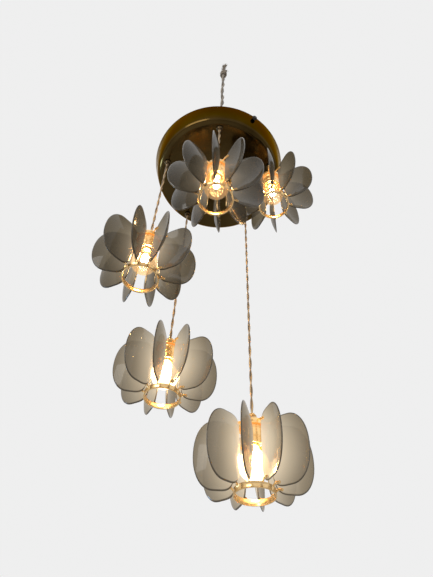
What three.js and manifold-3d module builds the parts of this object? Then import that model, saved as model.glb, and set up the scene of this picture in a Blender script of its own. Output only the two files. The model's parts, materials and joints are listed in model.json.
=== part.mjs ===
// Chandelier of five petal lamps that hang at stepped heights from a round canopy, which hangs on a rope.
// Millimetres, +Z up. The origin is the middle of the knot at the rope's upper end, on the canopy's axis.
// Seen from above, angles run anticlockwise from +X.
import * as THREE from 'three';
import { mergeVertices } from 'three/addons/utils/BufferGeometryUtils.js';
import Module from 'manifold-3d';

const wasm = await Module();
wasm.setup();

// Fits
const SEAT_GAP = 0.3;           // between two pieces that seat on each other
const BORE_CLEARANCE = 0.4;     // between a pin or lead and the wall of its hole, on the radius
const SWING_CLEARANCE = 0.6;    // between a cord grip's mouth and the flex that swings below it

// Rope
const ROPE_DIAMETER = 11;
const ROPE_LENGTH = 636;        // from knot to knot
const TOP_KNOT_DIAMETER = 25;
const TOP_KNOT_HEIGHT = 36;
const ROPE_TAIL_LENGTH = 100;   // frayed end that stands above the top knot
const HITCH_DIAMETER = 25;
const HITCH_HEIGHT = 30;
const LOOP_ROPE_DIAMETER = 9;   // the rope is pulled thinner where it turns through the eye
const LOOP_RADIUS = 13;         // to the middle of the rope

// Eye bolt
const EYE_WIRE_DIAMETER = 5;
const EYE_RADIUS = 13.5;        // to the middle of the wire
const BOLT_DIAMETER = 6;
const BOLT_SHOULDER_RADIUS = 6.5;
const BOLT_SHOULDER_HEIGHT = 4;
const BOLT_NUT_RADIUS = 6.4;    // to the corners
const BOLT_NUT_HEIGHT = 5;
const BOLT_END = 4;             // thread that stands below the nut

// Canopy
const CANOPY_RADIUS = 150;      // outside, at the rim
const CANOPY_HEIGHT = 50;
const CANOPY_WALL = 1.5;
const CANOPY_TAPER = 13.5;      // degrees that the side leans in from the rim
const CANOPY_CORNER = 14;       // outside radius between side and bottom

// Mounting bar
const BAR_ANGLE = -60;          // degrees
const BAR_WIDTH = 25;
const BAR_THICKNESS = 2.5;
const BAR_TAB_DEPTH = 19;       // how far the bent ends reach down
const BAR_SCREW_HOLE = 5;       // diameter of the two ceiling screw holes
const BAR_SCREW_SPACING = 110;
const SIDE_SCREW_DROP = 10;     // from the rim to the side screws' axis
const SIDE_SCREW_DIAMETER = 4;
const SIDE_SCREW_HEAD_RADIUS = 5;
const SIDE_SCREW_HEAD_HEIGHT = 6;
const SIDE_SCREW_REACH = 5;     // past the inner face of the tab

// Junction box
const BOX_RADIUS = 23;
const BOX_HEIGHT = 19;
const BOX_RIB = 1.2;            // lip of its lid, on the radius
const BOX_LID = 4;
const BOX_PORT_DEPTH = 7;

// Cord grips and leads
const PENDANT_EDGE = 6;         // from each pendant's axis to the edge of the canopy's flat underside
const GRIP_FLANGE_RADIUS = 7;
const GRIP_FLANGE_HEIGHT = 4;
const GRIP_LENGTH = 9;          // below the canopy
const GRIP_MOUTH_RADIUS = 4.2;
const GRIP_NIPPLE_RADIUS = 5;
const GRIP_NUT_RADIUS = 7.5;
const GRIP_NUT_HEIGHT = 4.5;
const LEAD_DIAMETER = 4;
const LEAD_BEND = 22;
const FLEX_DIAMETER = 5;

// Pendants, in the order in which they step down round the canopy. A drop is from the canopy to the flower's middle
const UPPER_RIGHT_DROP = 110;
const UPPER_FRONT_DROP = 238;
const MIDDLE_LEFT_DROP = 350;
const LOWER_LEFT_DROP = 480;
const LOWER_RIGHT_DROP = 628;
const PENDANTS = [
  { name: 'upper_right', angle: -18, drop: UPPER_RIGHT_DROP, turn: 6 },
  { name: 'upper_front', angle: -90, drop: UPPER_FRONT_DROP, turn: 12 },
  { name: 'middle_left', angle: 198, drop: MIDDLE_LEFT_DROP, turn: 11 },
  { name: 'lower_left', angle: 126, drop: LOWER_LEFT_DROP, turn: 9 },
  { name: 'lower_right', angle: 54, drop: LOWER_RIGHT_DROP, turn: 2 },
];

// Petals
const PETAL_COUNT = 10;
const PETAL_CLEARANCE = 4.5;    // between the bulb and the petals' inner edges
const PETAL_WIDTH = 60;
const PETAL_HEIGHT = 106;
const PETAL_THICKNESS = 2;
const PETAL_DISH = 9;           // depth of the hollow in each petal
const PETAL_FULLNESS = 2.2;     // 2 is an ellipse, more is squarer
const PETAL_RIM_POINTS = 12;
const PETAL_INNER_RING = 0.58;  // of the outline

// Lower ring
const RING_RADIUS = 29.5;
const RING_WALL = 1.6;
const RING_HEIGHT = 9;
const RING_OVERHANG = 5;        // how far the ring stands below the petals
const ARM_THICKNESS = 2.6;
const ARM_HEIGHT = 7;
const ARM_LAP = 7;              // how far an arm laps onto its petal

// Upper ring
const GALLERY_RADIUS = 22;
const GALLERY_INSET = 2;        // from the petals' tops down to the gallery's top
const GALLERY_PLATE = 2;
const GALLERY_SKIRT = 9;
const GALLERY_WALL = 1.6;

// Cap, lamp holder and bulb
const CAP_RADIUS = 15;
const CAP_HEIGHT = 18;
const CAP_TOP_RADIUS = 4.4;
const NIPPLE_RADIUS = 5;
const SLEEVE_RADIUS = 18.5;
const SLEEVE_WALL = 1.4;
const SLEEVE_HEIGHT = 36;
const SOCKET_RADIUS = 13;
const SOCKET_HEIGHT = 29;
const SOCKET_FLOOR = 4;
const BULB_BASE_RADIUS = 7;
const BULB_BASE_LENGTH = 25;
const BULB_COLLAR_RADIUS = 9.5;
const BULB_COLLAR_HEIGHT = 4;
const BULB_RADIUS = 22.5;
const BULB_GLASS = 1.2;
const BULB_NECK_RADIUS = 8.5;
const BULB_NECK_LENGTH = 27;    // from the bulb's middle to the end of its neck
const BULB_SHOULDER = 50;       // degrees above the middle where the round glass turns into the neck

// Roundness
const CANOPY_SIDES = 40;
const ROUND_SIDES = 14;
const SMALL_SIDES = 10;
const EYE_SIDES = 16;            // a multiple of 4, so that the eye and the loop through it meet corner to corner
const WIRE_SIDES = 6;

// Finishes
const finish = (color, metalness, roughness, opacity = 1) =>
  new THREE.MeshStandardMaterial({ color, metalness, roughness, opacity, transparent: opacity < 1 });
const DARK_CHROME = finish(0x3a2a1a, 0.9, 0.18);
const GILT = finish(0xb98a4a, 0.95, 0.3);
const STEEL = finish(0x9a9a98, 0.9, 0.4);
const BLACK_PLASTIC = finish(0x1c1a18, 0, 0.5);
const SMOKE_ACRYLIC = finish(0x6a5c48, 0, 0.12, 0.75);
const PORCELAIN = finish(0xe8e2d4, 0, 0.35);
const OPAL_GLASS = finish(0xfff0d6, 0, 0.2);
const ROPE_FIBRE = finish(0x6e5f4b, 0, 0.95);
const FLEX_COVER = finish(0x96784f, 0, 0.7);

const radians = THREE.MathUtils.degToRad;
const point = (x, y) => new THREE.Vector2(x, y);

// Closed solids and how they are joined

function toSolid(geometry) {
  const plain = geometry.clone();
  plain.deleteAttribute('normal');
  plain.deleteAttribute('uv');
  const merged = mergeVertices(plain, 1e-4);
  return new wasm.Manifold(new wasm.Mesh({
    numProp: 3,
    vertProperties: new Float32Array(merged.attributes.position.array),
    triVerts: new Uint32Array(merged.index.array),
  }));
}

function toGeometry(solid) {
  const mesh = solid.getMesh();
  const geometry = new THREE.BufferGeometry();
  geometry.setAttribute('position', new THREE.BufferAttribute(mesh.vertProperties, 3));
  geometry.setIndex(new THREE.BufferAttribute(mesh.triVerts, 1));
  geometry.computeVertexNormals();
  return geometry;
}

function joined(geometries) {
  return toGeometry(geometries.map(toSolid).reduce((whole, part) => whole.add(part)));
}

function cut(geometry, tools) {
  return toGeometry(tools.map(toSolid).reduce((rest, tool) => rest.subtract(tool), toSolid(geometry)));
}

// A turned piece: its outline is a list of (radius, height) points, and it stands on the Z axis
function turned(outline, sides) {
  return new THREE.LatheGeometry(outline, sides).rotateX(Math.PI / 2);
}

function rod(radius, bottom, top, sides = SMALL_SIDES) {
  return new THREE.CylinderGeometry(radius, radius, top - bottom, sides)
    .rotateX(Math.PI / 2)
    .translate(0, 0, (bottom + top) / 2);
}

function block(xMin, xMax, yMin, yMax, zMin, zMax) {
  return new THREE.BoxGeometry(xMax - xMin, yMax - yMin, zMax - zMin)
    .translate((xMin + xMax) / 2, (yMin + yMax) / 2, (zMin + zMax) / 2);
}

function around(geometry, degrees) {
  return geometry.clone().rotateZ(radians(degrees));
}

function arcPoints(centreX, centreY, radius, fromDegrees, toDegrees, steps) {
  return Array.from({ length: steps + 1 }, (unused, i) => {
    const angle = radians(fromDegrees + (toDegrees - fromDegrees) * i / steps);
    return point(centreX + radius * Math.cos(angle), centreY + radius * Math.sin(angle));
  });
}

// Levels below the rim plane of the canopy, which is the ceiling plane when the bar is screwed up
const canopyBottom = -CANOPY_HEIGHT;
const canopyFloor = canopyBottom + CANOPY_WALL;
const gripMouth = canopyBottom - GRIP_LENGTH;
const boxTop = -(BAR_THICKNESS + SEAT_GAP + BOLT_NUT_HEIGHT + SEAT_GAP);
const portLevel = boxTop - BOX_HEIGHT / 2;
const portRadius = LEAD_DIAMETER / 2 + BORE_CLEARANCE;
const eyeLevel = SEAT_GAP + BOLT_SHOULDER_HEIGHT + EYE_WIRE_DIAMETER / 2 + EYE_RADIUS;
const eyeInnerRadius = EYE_RADIUS - EYE_WIRE_DIAMETER / 2;
const loopLevel = eyeLevel + eyeInnerRadius - SEAT_GAP - LOOP_ROPE_DIAMETER / 2 + LOOP_RADIUS;
const hitchBottom = loopLevel + LOOP_RADIUS - LOOP_ROPE_DIAMETER;
const hitchTop = hitchBottom + HITCH_HEIGHT;
const ropeBottom = hitchTop + SEAT_GAP;
const ropeTop = ropeBottom + ROPE_LENGTH;
const rimBelowOrigin = ropeTop + SEAT_GAP + TOP_KNOT_HEIGHT / 2;

// Canopy, a spun pan that is open at the top

const taper = radians(CANOPY_TAPER);
const cornerCentreRadius = CANOPY_RADIUS
  - ((CANOPY_HEIGHT - CANOPY_CORNER) * Math.sin(taper) + CANOPY_CORNER) / Math.cos(taper);
const pendantRadius = cornerCentreRadius - PENDANT_EDGE;
const canopyOutsideAt = (level) => CANOPY_RADIUS + level * Math.tan(taper);
const canopyInsideAt = (level) => canopyOutsideAt(level) - CANOPY_WALL / Math.cos(taper);

function canopyPan() {
  const cornerLevel = canopyBottom + CANOPY_CORNER;
  const outside = arcPoints(cornerCentreRadius, cornerLevel, CANOPY_CORNER, -90, -CANOPY_TAPER, 4);
  const inside = arcPoints(cornerCentreRadius, cornerLevel, CANOPY_CORNER - CANOPY_WALL, -CANOPY_TAPER, -90, 3);
  const pan = turned([
    point(0, canopyBottom),
    ...outside,
    point(canopyOutsideAt(0), 0),
    point(canopyInsideAt(0), 0),
    ...inside,
    point(0, canopyFloor),
  ], CANOPY_SIDES);
  const gripHoles = PENDANTS.map((pendant) => around(
    rod(GRIP_NIPPLE_RADIUS + BORE_CLEARANCE, canopyBottom - 1, canopyFloor + 1).translate(pendantRadius, 0, 0),
    pendant.angle,
  ));
  const screwHole = rod(SIDE_SCREW_DIAMETER / 2 + BORE_CLEARANCE, canopyInsideAt(-BAR_TAB_DEPTH), CANOPY_RADIUS + 1)
    .rotateY(Math.PI / 2)
    .translate(0, 0, -SIDE_SCREW_DROP);
  return cut(pan, [...gripHoles, around(screwHole, BAR_ANGLE), around(screwHole, BAR_ANGLE + 180)]);
}

// Mounting bar, bent down at both ends, with holes for the eye bolt, two ceiling screws and the side screws

const tabChord = Math.sqrt(canopyInsideAt(-BAR_TAB_DEPTH) ** 2 - (BAR_WIDTH / 2) ** 2);
const tabOutside = (tabChord - SEAT_GAP) * Math.cos(Math.PI / CANOPY_SIDES);

function mountingBar() {
  const half = BAR_WIDTH / 2;
  const strip = block(-tabOutside, tabOutside, -half, half, -BAR_THICKNESS, 0);
  const tab = block(tabOutside - BAR_THICKNESS, tabOutside, -half, half, -BAR_TAB_DEPTH, 0);
  const through = (radius, x) => rod(radius, -BAR_THICKNESS - 1, 1).translate(x, 0, 0);
  const screwHole = rod(SIDE_SCREW_DIAMETER / 2 + BORE_CLEARANCE, -CANOPY_RADIUS, CANOPY_RADIUS)
    .rotateY(Math.PI / 2)
    .translate(0, 0, -SIDE_SCREW_DROP);
  return cut(joined([strip, tab, around(tab, 180)]), [
    through(BOLT_DIAMETER / 2 + BORE_CLEARANCE, 0),
    through(BAR_SCREW_HOLE / 2, BAR_SCREW_SPACING / 2),
    through(BAR_SCREW_HOLE / 2, -BAR_SCREW_SPACING / 2),
    screwHole,
  ]);
}

// Side screw with a knurled head, along +X, which holds the canopy's rim to a tab of the bar
function sideScrew() {
  const headInside = canopyOutsideAt(-SIDE_SCREW_DROP + SIDE_SCREW_HEAD_RADIUS) + SEAT_GAP;
  const end = tabOutside - BAR_THICKNESS - SIDE_SCREW_REACH;
  const radius = SIDE_SCREW_DIAMETER / 2;
  const rounded = SIDE_SCREW_HEAD_HEIGHT / 4;
  return turned([
    point(0, end),
    point(radius, end),
    point(radius, headInside),
    point(SIDE_SCREW_HEAD_RADIUS, headInside),
    point(SIDE_SCREW_HEAD_RADIUS, headInside + SIDE_SCREW_HEAD_HEIGHT - rounded),
    point(SIDE_SCREW_HEAD_RADIUS - rounded, headInside + SIDE_SCREW_HEAD_HEIGHT),
    point(0, headInside + SIDE_SCREW_HEAD_HEIGHT),
  ], SMALL_SIDES)
    .rotateY(Math.PI / 2)
    .translate(0, 0, -SIDE_SCREW_DROP);
}

// Eye bolt with its shoulder above the bar and its nut below
function eyeBolt() {
  const eye = new THREE.TorusGeometry(EYE_RADIUS, EYE_WIRE_DIAMETER / 2, WIRE_SIDES, EYE_SIDES)
    .rotateX(Math.PI / 2)
    .translate(0, 0, eyeLevel);
  const shoulderBottom = SEAT_GAP;
  const nutTop = -BAR_THICKNESS - SEAT_GAP;
  const neckTop = eyeLevel - EYE_RADIUS + EYE_WIRE_DIAMETER / 4;
  const shoulder = rod(BOLT_SHOULDER_RADIUS, shoulderBottom, shoulderBottom + BOLT_SHOULDER_HEIGHT);
  const thread = rod(BOLT_DIAMETER / 2, nutTop - BOLT_NUT_HEIGHT - BOLT_END, neckTop);
  const nut = rod(BOLT_NUT_RADIUS, nutTop - BOLT_NUT_HEIGHT, nutTop, 6);
  return joined([eye, shoulder, thread, nut]);
}

// Junction box under the bolt's nut, with a port for each lead and a hole for the bolt's end
function junctionBox() {
  const bottom = boxTop - BOX_HEIGHT;
  const body = turned([
    point(0, bottom),
    point(BOX_RADIUS - BOX_RIB, bottom),
    point(BOX_RADIUS - BOX_RIB, boxTop - BOX_LID),
    point(BOX_RADIUS, boxTop - BOX_LID),
    point(BOX_RADIUS, boxTop - BOX_RIB),
    point(BOX_RADIUS - BOX_RIB, boxTop),
    point(0, boxTop),
  ], ROUND_SIDES);
  const boltHole = rod(BOLT_DIAMETER / 2 + BORE_CLEARANCE, boxTop - BOLT_END - SEAT_GAP, boxTop + 1);
  const port = rod(portRadius, BOX_RADIUS - BOX_RIB - BOX_PORT_DEPTH, BOX_RADIUS + 1)
    .rotateY(Math.PI / 2)
    .translate(0, 0, portLevel);
  return cut(body, [boltHole, ...PENDANTS.map((pendant) => around(port, pendant.angle))]);
}

// Rope and its knots

function topKnot() {
  const half = TOP_KNOT_HEIGHT / 2;
  const rope = ROPE_DIAMETER / 2;
  const bulge = TOP_KNOT_DIAMETER / 2;
  return turned([
    point(0, -half),
    point(rope, -half),
    point(bulge * 0.86, -half * 0.62),
    point(bulge, 0),
    point(bulge * 0.86, half * 0.62),
    point(rope, half),
    point(rope * 1.5, half + ROPE_TAIL_LENGTH * 0.75),
    point(rope * 0.8, half + ROPE_TAIL_LENGTH),
    point(0, half + ROPE_TAIL_LENGTH),
  ], SMALL_SIDES);
}

// The hitch is a round knot, and its loop passes through the eye of the bolt
function hitch() {
  const rope = ROPE_DIAMETER / 2;
  const bulge = HITCH_DIAMETER / 2;
  const middle = (hitchBottom + hitchTop) / 2;
  const knot = turned([
    point(0, hitchBottom),
    point(bulge * 0.7, hitchBottom),
    point(bulge, middle - HITCH_HEIGHT * 0.2),
    point(bulge, middle + HITCH_HEIGHT * 0.2),
    point(rope, hitchTop),
    point(0, hitchTop),
  ], SMALL_SIDES);
  const loop = new THREE.TorusGeometry(LOOP_RADIUS, LOOP_ROPE_DIAMETER / 2, WIRE_SIDES, EYE_SIDES)
    .rotateX(Math.PI / 2)
    .rotateZ(Math.PI / 2)
    .translate(0, 0, loopLevel);
  return joined([knot, loop]);
}

// Cord grip: a flanged bush under the canopy whose nipple passes up through it into a nut
function cordGrip() {
  const bore = LEAD_DIAMETER / 2 + BORE_CLEARANCE;
  const flangeTop = canopyBottom - SEAT_GAP;
  const nutBottom = canopyFloor + SEAT_GAP;
  return turned([
    point(bore, gripMouth),
    point(GRIP_MOUTH_RADIUS, gripMouth),
    point(GRIP_FLANGE_RADIUS - 1, flangeTop - GRIP_FLANGE_HEIGHT),
    point(GRIP_FLANGE_RADIUS, flangeTop - GRIP_FLANGE_HEIGHT + 1),
    point(GRIP_FLANGE_RADIUS, flangeTop),
    point(GRIP_NIPPLE_RADIUS, flangeTop),
    point(GRIP_NIPPLE_RADIUS, nutBottom),
    point(GRIP_NUT_RADIUS, nutBottom),
    point(GRIP_NUT_RADIUS, nutBottom + GRIP_NUT_HEIGHT),
    point(bore, nutBottom + GRIP_NUT_HEIGHT),
    point(bore, gripMouth),
  ], SMALL_SIDES);
}

// Lead from a grip's mouth up into the canopy, round one bend and along to its port, in the plane of X and Z
function innerLead() {
  const route = new THREE.CurvePath();
  const corner = new THREE.Vector3(pendantRadius, 0, portLevel);
  const bendStart = corner.clone().add(new THREE.Vector3(0, 0, -LEAD_BEND));
  const bendEnd = corner.clone().add(new THREE.Vector3(-LEAD_BEND, 0, 0));
  const start = new THREE.Vector3(pendantRadius, 0, gripMouth);
  const end = new THREE.Vector3(BOX_RADIUS - BOX_RIB - BOX_PORT_DEPTH + SEAT_GAP, 0, portLevel);
  route.add(new THREE.LineCurve3(start, bendStart));
  route.add(new THREE.QuadraticBezierCurve3(bendStart, corner, bendEnd));
  route.add(new THREE.LineCurve3(bendEnd, end));
  return tube(route, LEAD_DIAMETER / 2, 5, 10);
}

function tube(route, radius, sides, steps) {
  const section = new THREE.Shape(Array.from({ length: sides }, (unused, i) => {
    const angle = 2 * Math.PI * i / sides;
    return point(radius * Math.cos(angle), radius * Math.sin(angle));
  }));
  return new THREE.ExtrudeGeometry(section, { extrudePath: route, steps, bevelEnabled: false });
}

// The petals stand round the bulb and reach out to the flower's radius
const flowerRadius = BULB_RADIUS + PETAL_CLEARANCE + PETAL_WIDTH;
const petalHalfHeight = PETAL_HEIGHT / 2;
const galleryTop = petalHalfHeight - GALLERY_INSET;
const ringBottom = -petalHalfHeight - RING_OVERHANG;

// One petal stands in the plane of X and Z at angle 0: an upright oval, dished towards +Y
function petal() {
  const halfWidth = PETAL_WIDTH / 2;
  const middle = flowerRadius - PETAL_WIDTH / 2;
  const halfThickness = PETAL_THICKNESS / 2;
  const power = 2 / PETAL_FULLNESS;
  const outline = (angle, share) => {
    const across = Math.sign(Math.cos(angle)) * Math.abs(Math.cos(angle)) ** power;
    const up = Math.sign(Math.sin(angle)) * Math.abs(Math.sin(angle)) ** power;
    return [middle + halfWidth * across * share, PETAL_DISH * (1 - share * share), petalHalfHeight * up * share];
  };
  const inner = PETAL_RIM_POINTS / 2;
  const positions = [];
  const triangles = [];
  const addFace = (side) => {
    const first = positions.length / 3;
    const add = (x, y, z) => positions.push(x, y + side * halfThickness, z);
    add(...outline(0, 0));
    for (let i = 0; i < inner; i += 1) add(...outline(2 * Math.PI * i / inner, PETAL_INNER_RING));
    for (let i = 0; i < PETAL_RIM_POINTS; i += 1) add(...outline(2 * Math.PI * i / PETAL_RIM_POINTS, 1));
    const ring = (i) => first + 1 + (i % inner);
    const rim = (i) => first + 1 + inner + (i % PETAL_RIM_POINTS);
    const face = (a, b, c) => triangles.push(...(side > 0 ? [a, c, b] : [a, b, c]));
    for (let i = 0; i < inner; i += 1) {
      face(first, ring(i), ring(i + 1));
      face(ring(i), rim(2 * i), rim(2 * i + 1));
      face(ring(i), rim(2 * i + 1), ring(i + 1));
      face(ring(i + 1), rim(2 * i + 1), rim(2 * i + 2));
    }
    return rim;
  };
  const front = addFace(-1);
  const back = addFace(1);
  for (let i = 0; i < PETAL_RIM_POINTS; i += 1) {
    triangles.push(front(i), back(i), front(i + 1), back(i), back(i + 1), front(i + 1));
  }
  const geometry = new THREE.BufferGeometry();
  geometry.setAttribute('position', new THREE.Float32BufferAttribute(positions, 3));
  geometry.setIndex(triangles);
  return geometry;
}

// Where the petal's inner edge lies at a height from the flower's middle
function petalInnerEdge(height) {
  const share = Math.abs(height) / petalHalfHeight;
  const across = (1 - share ** PETAL_FULLNESS) ** (1 / PETAL_FULLNESS);
  return flowerRadius - PETAL_WIDTH / 2 * (1 + across);
}

const petalAngles = Array.from({ length: PETAL_COUNT }, (unused, i) => 360 * i / PETAL_COUNT);

// Lower ring with an arm to each petal, and the petals that it carries
function petalCrown() {
  const inside = RING_RADIUS - RING_WALL;
  const top = ringBottom + RING_HEIGHT;
  const ring = turned([
    point(inside, ringBottom),
    point(RING_RADIUS, ringBottom),
    point(RING_RADIUS, top),
    point(inside, top),
    point(inside, ringBottom),
  ], 2 * PETAL_COUNT);
  const armBottom = top - ARM_HEIGHT;
  const armEnd = petalInnerEdge(top) + ARM_LAP;
  const arm = block(inside + RING_WALL / 3, armEnd, -ARM_THICKNESS / 2, ARM_THICKNESS / 2, armBottom, top);
  const pieces = petalAngles.flatMap((angle) => [around(arm, angle), around(petal(), angle)]);
  return joined([ring, ...pieces]);
}

// Upper ring: a plate with a skirt, and an arm that laps onto the back of each petal
function petalGallery() {
  const plateBottom = galleryTop - GALLERY_PLATE;
  const skirtBottom = galleryTop - GALLERY_SKIRT;
  const inside = GALLERY_RADIUS - GALLERY_WALL;
  const bore = NIPPLE_RADIUS + BORE_CLEARANCE;
  const ring = turned([
    point(bore, plateBottom),
    point(inside, plateBottom),
    point(inside, skirtBottom),
    point(GALLERY_RADIUS, skirtBottom),
    point(GALLERY_RADIUS, galleryTop),
    point(bore, galleryTop),
    point(bore, plateBottom),
  ], 2 * PETAL_COUNT);
  const armBottom = galleryTop - ARM_HEIGHT;
  const armEnd = petalInnerEdge(armBottom) + ARM_LAP;
  const seat = -PETAL_THICKNESS / 2 - SEAT_GAP;
  const arm = block(inside + GALLERY_WALL / 3, armEnd, seat - ARM_THICKNESS, seat, armBottom, galleryTop);
  return joined([ring, ...petalAngles.map((angle) => around(arm, angle))]);
}

// Bell cap over the gallery, where the flex comes out, with the nipple that runs down into the holder
const capBottom = galleryTop + SEAT_GAP;
const capTop = capBottom + CAP_HEIGHT;
const sleeveTop = galleryTop - GALLERY_PLATE - SEAT_GAP;

function bellCap() {
  const nippleEnd = sleeveTop - SLEEVE_WALL;
  return turned([
    point(0, nippleEnd),
    point(NIPPLE_RADIUS, nippleEnd),
    point(NIPPLE_RADIUS, capBottom),
    point(CAP_RADIUS, capBottom),
    point(CAP_RADIUS, capBottom + CAP_HEIGHT * 0.16),
    point(CAP_RADIUS * 0.8, capBottom + CAP_HEIGHT * 0.42),
    point(CAP_RADIUS * 0.48, capBottom + CAP_HEIGHT * 0.66),
    point(CAP_TOP_RADIUS, capTop),
    point(0, capTop),
  ], ROUND_SIDES);
}

// Sleeve of the lamp holder, open at the bottom
function holderSleeve() {
  const bottom = sleeveTop - SLEEVE_HEIGHT;
  const inside = SLEEVE_RADIUS - SLEEVE_WALL;
  const bore = NIPPLE_RADIUS + BORE_CLEARANCE;
  return turned([
    point(bore, sleeveTop - SLEEVE_WALL),
    point(inside, sleeveTop - SLEEVE_WALL),
    point(inside, bottom),
    point(SLEEVE_RADIUS, bottom),
    point(SLEEVE_RADIUS, sleeveTop - SLEEVE_WALL),
    point(SLEEVE_RADIUS - SLEEVE_WALL, sleeveTop),
    point(bore, sleeveTop),
    point(bore, sleeveTop - SLEEVE_WALL),
  ], ROUND_SIDES);
}

// Lamp socket inside the sleeve, a cup that the bulb's base goes up into
const socketTop = sleeveTop - SLEEVE_WALL - SEAT_GAP;
const socketFloor = socketTop - SOCKET_FLOOR;

function lampSocket() {
  const bottom = socketTop - SOCKET_HEIGHT;
  const bore = BULB_BASE_RADIUS + BORE_CLEARANCE;
  return turned([
    point(0, socketFloor),
    point(bore, socketFloor),
    point(bore, bottom),
    point(SOCKET_RADIUS, bottom),
    point(SOCKET_RADIUS, socketTop),
    point(0, socketTop),
  ], SMALL_SIDES);
}

// Bulb: a screw base with a collar, and a round glass with an open neck that seats on it
const baseTop = socketFloor - SEAT_GAP;
const collarTop = socketTop - SOCKET_HEIGHT - SEAT_GAP;
const collarBottom = Math.min(collarTop - BULB_COLLAR_HEIGHT, baseTop - BULB_BASE_LENGTH);

function bulbBase() {
  return turned([
    point(0, collarBottom),
    point(BULB_COLLAR_RADIUS, collarBottom),
    point(BULB_COLLAR_RADIUS, collarBottom + BULB_COLLAR_HEIGHT * 0.6),
    point(BULB_BASE_RADIUS, collarTop),
    point(BULB_BASE_RADIUS, baseTop - 3),
    point(BULB_BASE_RADIUS / 2, baseTop),
    point(0, baseTop),
  ], SMALL_SIDES);
}

const neckTop = collarBottom - SEAT_GAP;
const bulbMiddle = neckTop - BULB_NECK_LENGTH;

function bulbGlass() {
  const innerNeck = BULB_NECK_RADIUS - BULB_GLASS;
  return turned([
    ...arcPoints(0, bulbMiddle, BULB_RADIUS, -90, BULB_SHOULDER, 6),
    point(BULB_NECK_RADIUS, neckTop),
    point(innerNeck, neckTop),
    ...arcPoints(0, bulbMiddle, BULB_RADIUS - BULB_GLASS, BULB_SHOULDER, -90, 4),
  ], ROUND_SIDES);
}

// Assembly

function piece(name, geometry, material) {
  const mesh = new THREE.Mesh(geometry, material);
  mesh.name = name;
  return mesh;
}

const chandelier = new THREE.Group();
chandelier.add(piece('rope_top_knot', topKnot(), ROPE_FIBRE));

const fixture = new THREE.Group();
fixture.position.z = -rimBelowOrigin;
chandelier.add(fixture);

fixture.add(piece('rope', rod(ROPE_DIAMETER / 2, ropeBottom, ropeTop), ROPE_FIBRE));
fixture.add(piece('rope_hitch', hitch(), ROPE_FIBRE));
fixture.add(piece('eye_bolt', eyeBolt(), STEEL));
fixture.add(piece('canopy_pan', canopyPan(), DARK_CHROME));
fixture.add(piece('junction_box', junctionBox(), BLACK_PLASTIC));

const barGroup = new THREE.Group();
barGroup.rotation.z = radians(BAR_ANGLE);
fixture.add(barGroup);
barGroup.add(piece('mounting_bar', mountingBar(), STEEL));
[['side_screw_front', 0], ['side_screw_back', Math.PI]].forEach(([name, turn]) => {
  const screw = piece(name, sideScrew(), BLACK_PLASTIC);
  screw.rotation.z = turn;
  barGroup.add(screw);
});

const flowerPieces = [
  ['petal_crown', petalCrown(), SMOKE_ACRYLIC],
  ['petal_gallery', petalGallery(), GILT],
  ['bell_cap', bellCap(), GILT],
  ['holder_sleeve', holderSleeve(), GILT],
  ['lamp_socket', lampSocket(), PORCELAIN],
  ['bulb_base', bulbBase(), STEEL],
  ['bulb_glass', bulbGlass(), OPAL_GLASS],
];
const grip = cordGrip();
const lead = innerLead();

PENDANTS.forEach((pendant) => {
  const arm = new THREE.Group();
  arm.rotation.z = radians(pendant.angle);
  fixture.add(arm);
  const gripMesh = piece(`cord_grip_${pendant.name}`, grip, DARK_CHROME);
  gripMesh.position.x = pendantRadius;
  arm.add(gripMesh);
  arm.add(piece(`inner_lead_${pendant.name}`, lead, FLEX_COVER));

  const flowerLevel = canopyBottom - pendant.drop;
  const flexTop = gripMouth - SWING_CLEARANCE;
  const flexBottom = flowerLevel + capTop + SEAT_GAP;
  const flex = piece(`flex_${pendant.name}`, rod(FLEX_DIAMETER / 2, flexBottom, flexTop, 8), FLEX_COVER);
  flex.position.x = pendantRadius;
  arm.add(flex);

  const flower = new THREE.Group();
  flower.position.set(pendantRadius, 0, flowerLevel);
  flower.rotation.z = radians(pendant.turn - pendant.angle);
  arm.add(flower);
  flowerPieces.forEach(([name, geometry, material]) => {
    flower.add(piece(`${name}_${pendant.name}`, geometry, material));
  });
});

export default chandelier;
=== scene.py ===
import json
import math
from collections import namedtuple

import bmesh
import bpy
import numpy as np
from mathutils import Matrix, Vector


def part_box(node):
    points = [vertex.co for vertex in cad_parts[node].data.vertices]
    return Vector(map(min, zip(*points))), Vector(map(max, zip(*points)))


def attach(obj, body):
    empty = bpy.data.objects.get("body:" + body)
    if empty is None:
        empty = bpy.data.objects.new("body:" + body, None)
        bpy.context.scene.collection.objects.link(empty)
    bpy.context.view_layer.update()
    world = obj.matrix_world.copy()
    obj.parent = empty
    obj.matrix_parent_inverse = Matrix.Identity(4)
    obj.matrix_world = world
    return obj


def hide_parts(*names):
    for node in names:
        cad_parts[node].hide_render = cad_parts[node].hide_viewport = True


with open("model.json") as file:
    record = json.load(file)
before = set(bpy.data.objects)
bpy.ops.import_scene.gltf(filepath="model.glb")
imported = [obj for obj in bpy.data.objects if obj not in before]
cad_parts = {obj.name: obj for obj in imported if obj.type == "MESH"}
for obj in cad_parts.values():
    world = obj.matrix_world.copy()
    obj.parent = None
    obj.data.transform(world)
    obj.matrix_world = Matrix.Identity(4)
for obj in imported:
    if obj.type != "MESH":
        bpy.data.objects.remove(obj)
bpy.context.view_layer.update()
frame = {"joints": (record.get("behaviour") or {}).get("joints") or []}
scene = bpy.context.scene

MM = 0.001
FULL_TURN = 2 * math.pi

# Where things are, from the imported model
joint_places = {joint["name"]: Vector(joint["pos_m"]) for joint in frame["joints"]}
underside_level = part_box("canopy_pan")[0].z
rim_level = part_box("canopy_pan")[1].z
at_rim = Matrix.Translation((0, 0, rim_level))

FLOWERS = ["upper_right", "upper_front", "middle_left", "lower_left", "lower_right"]
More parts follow.
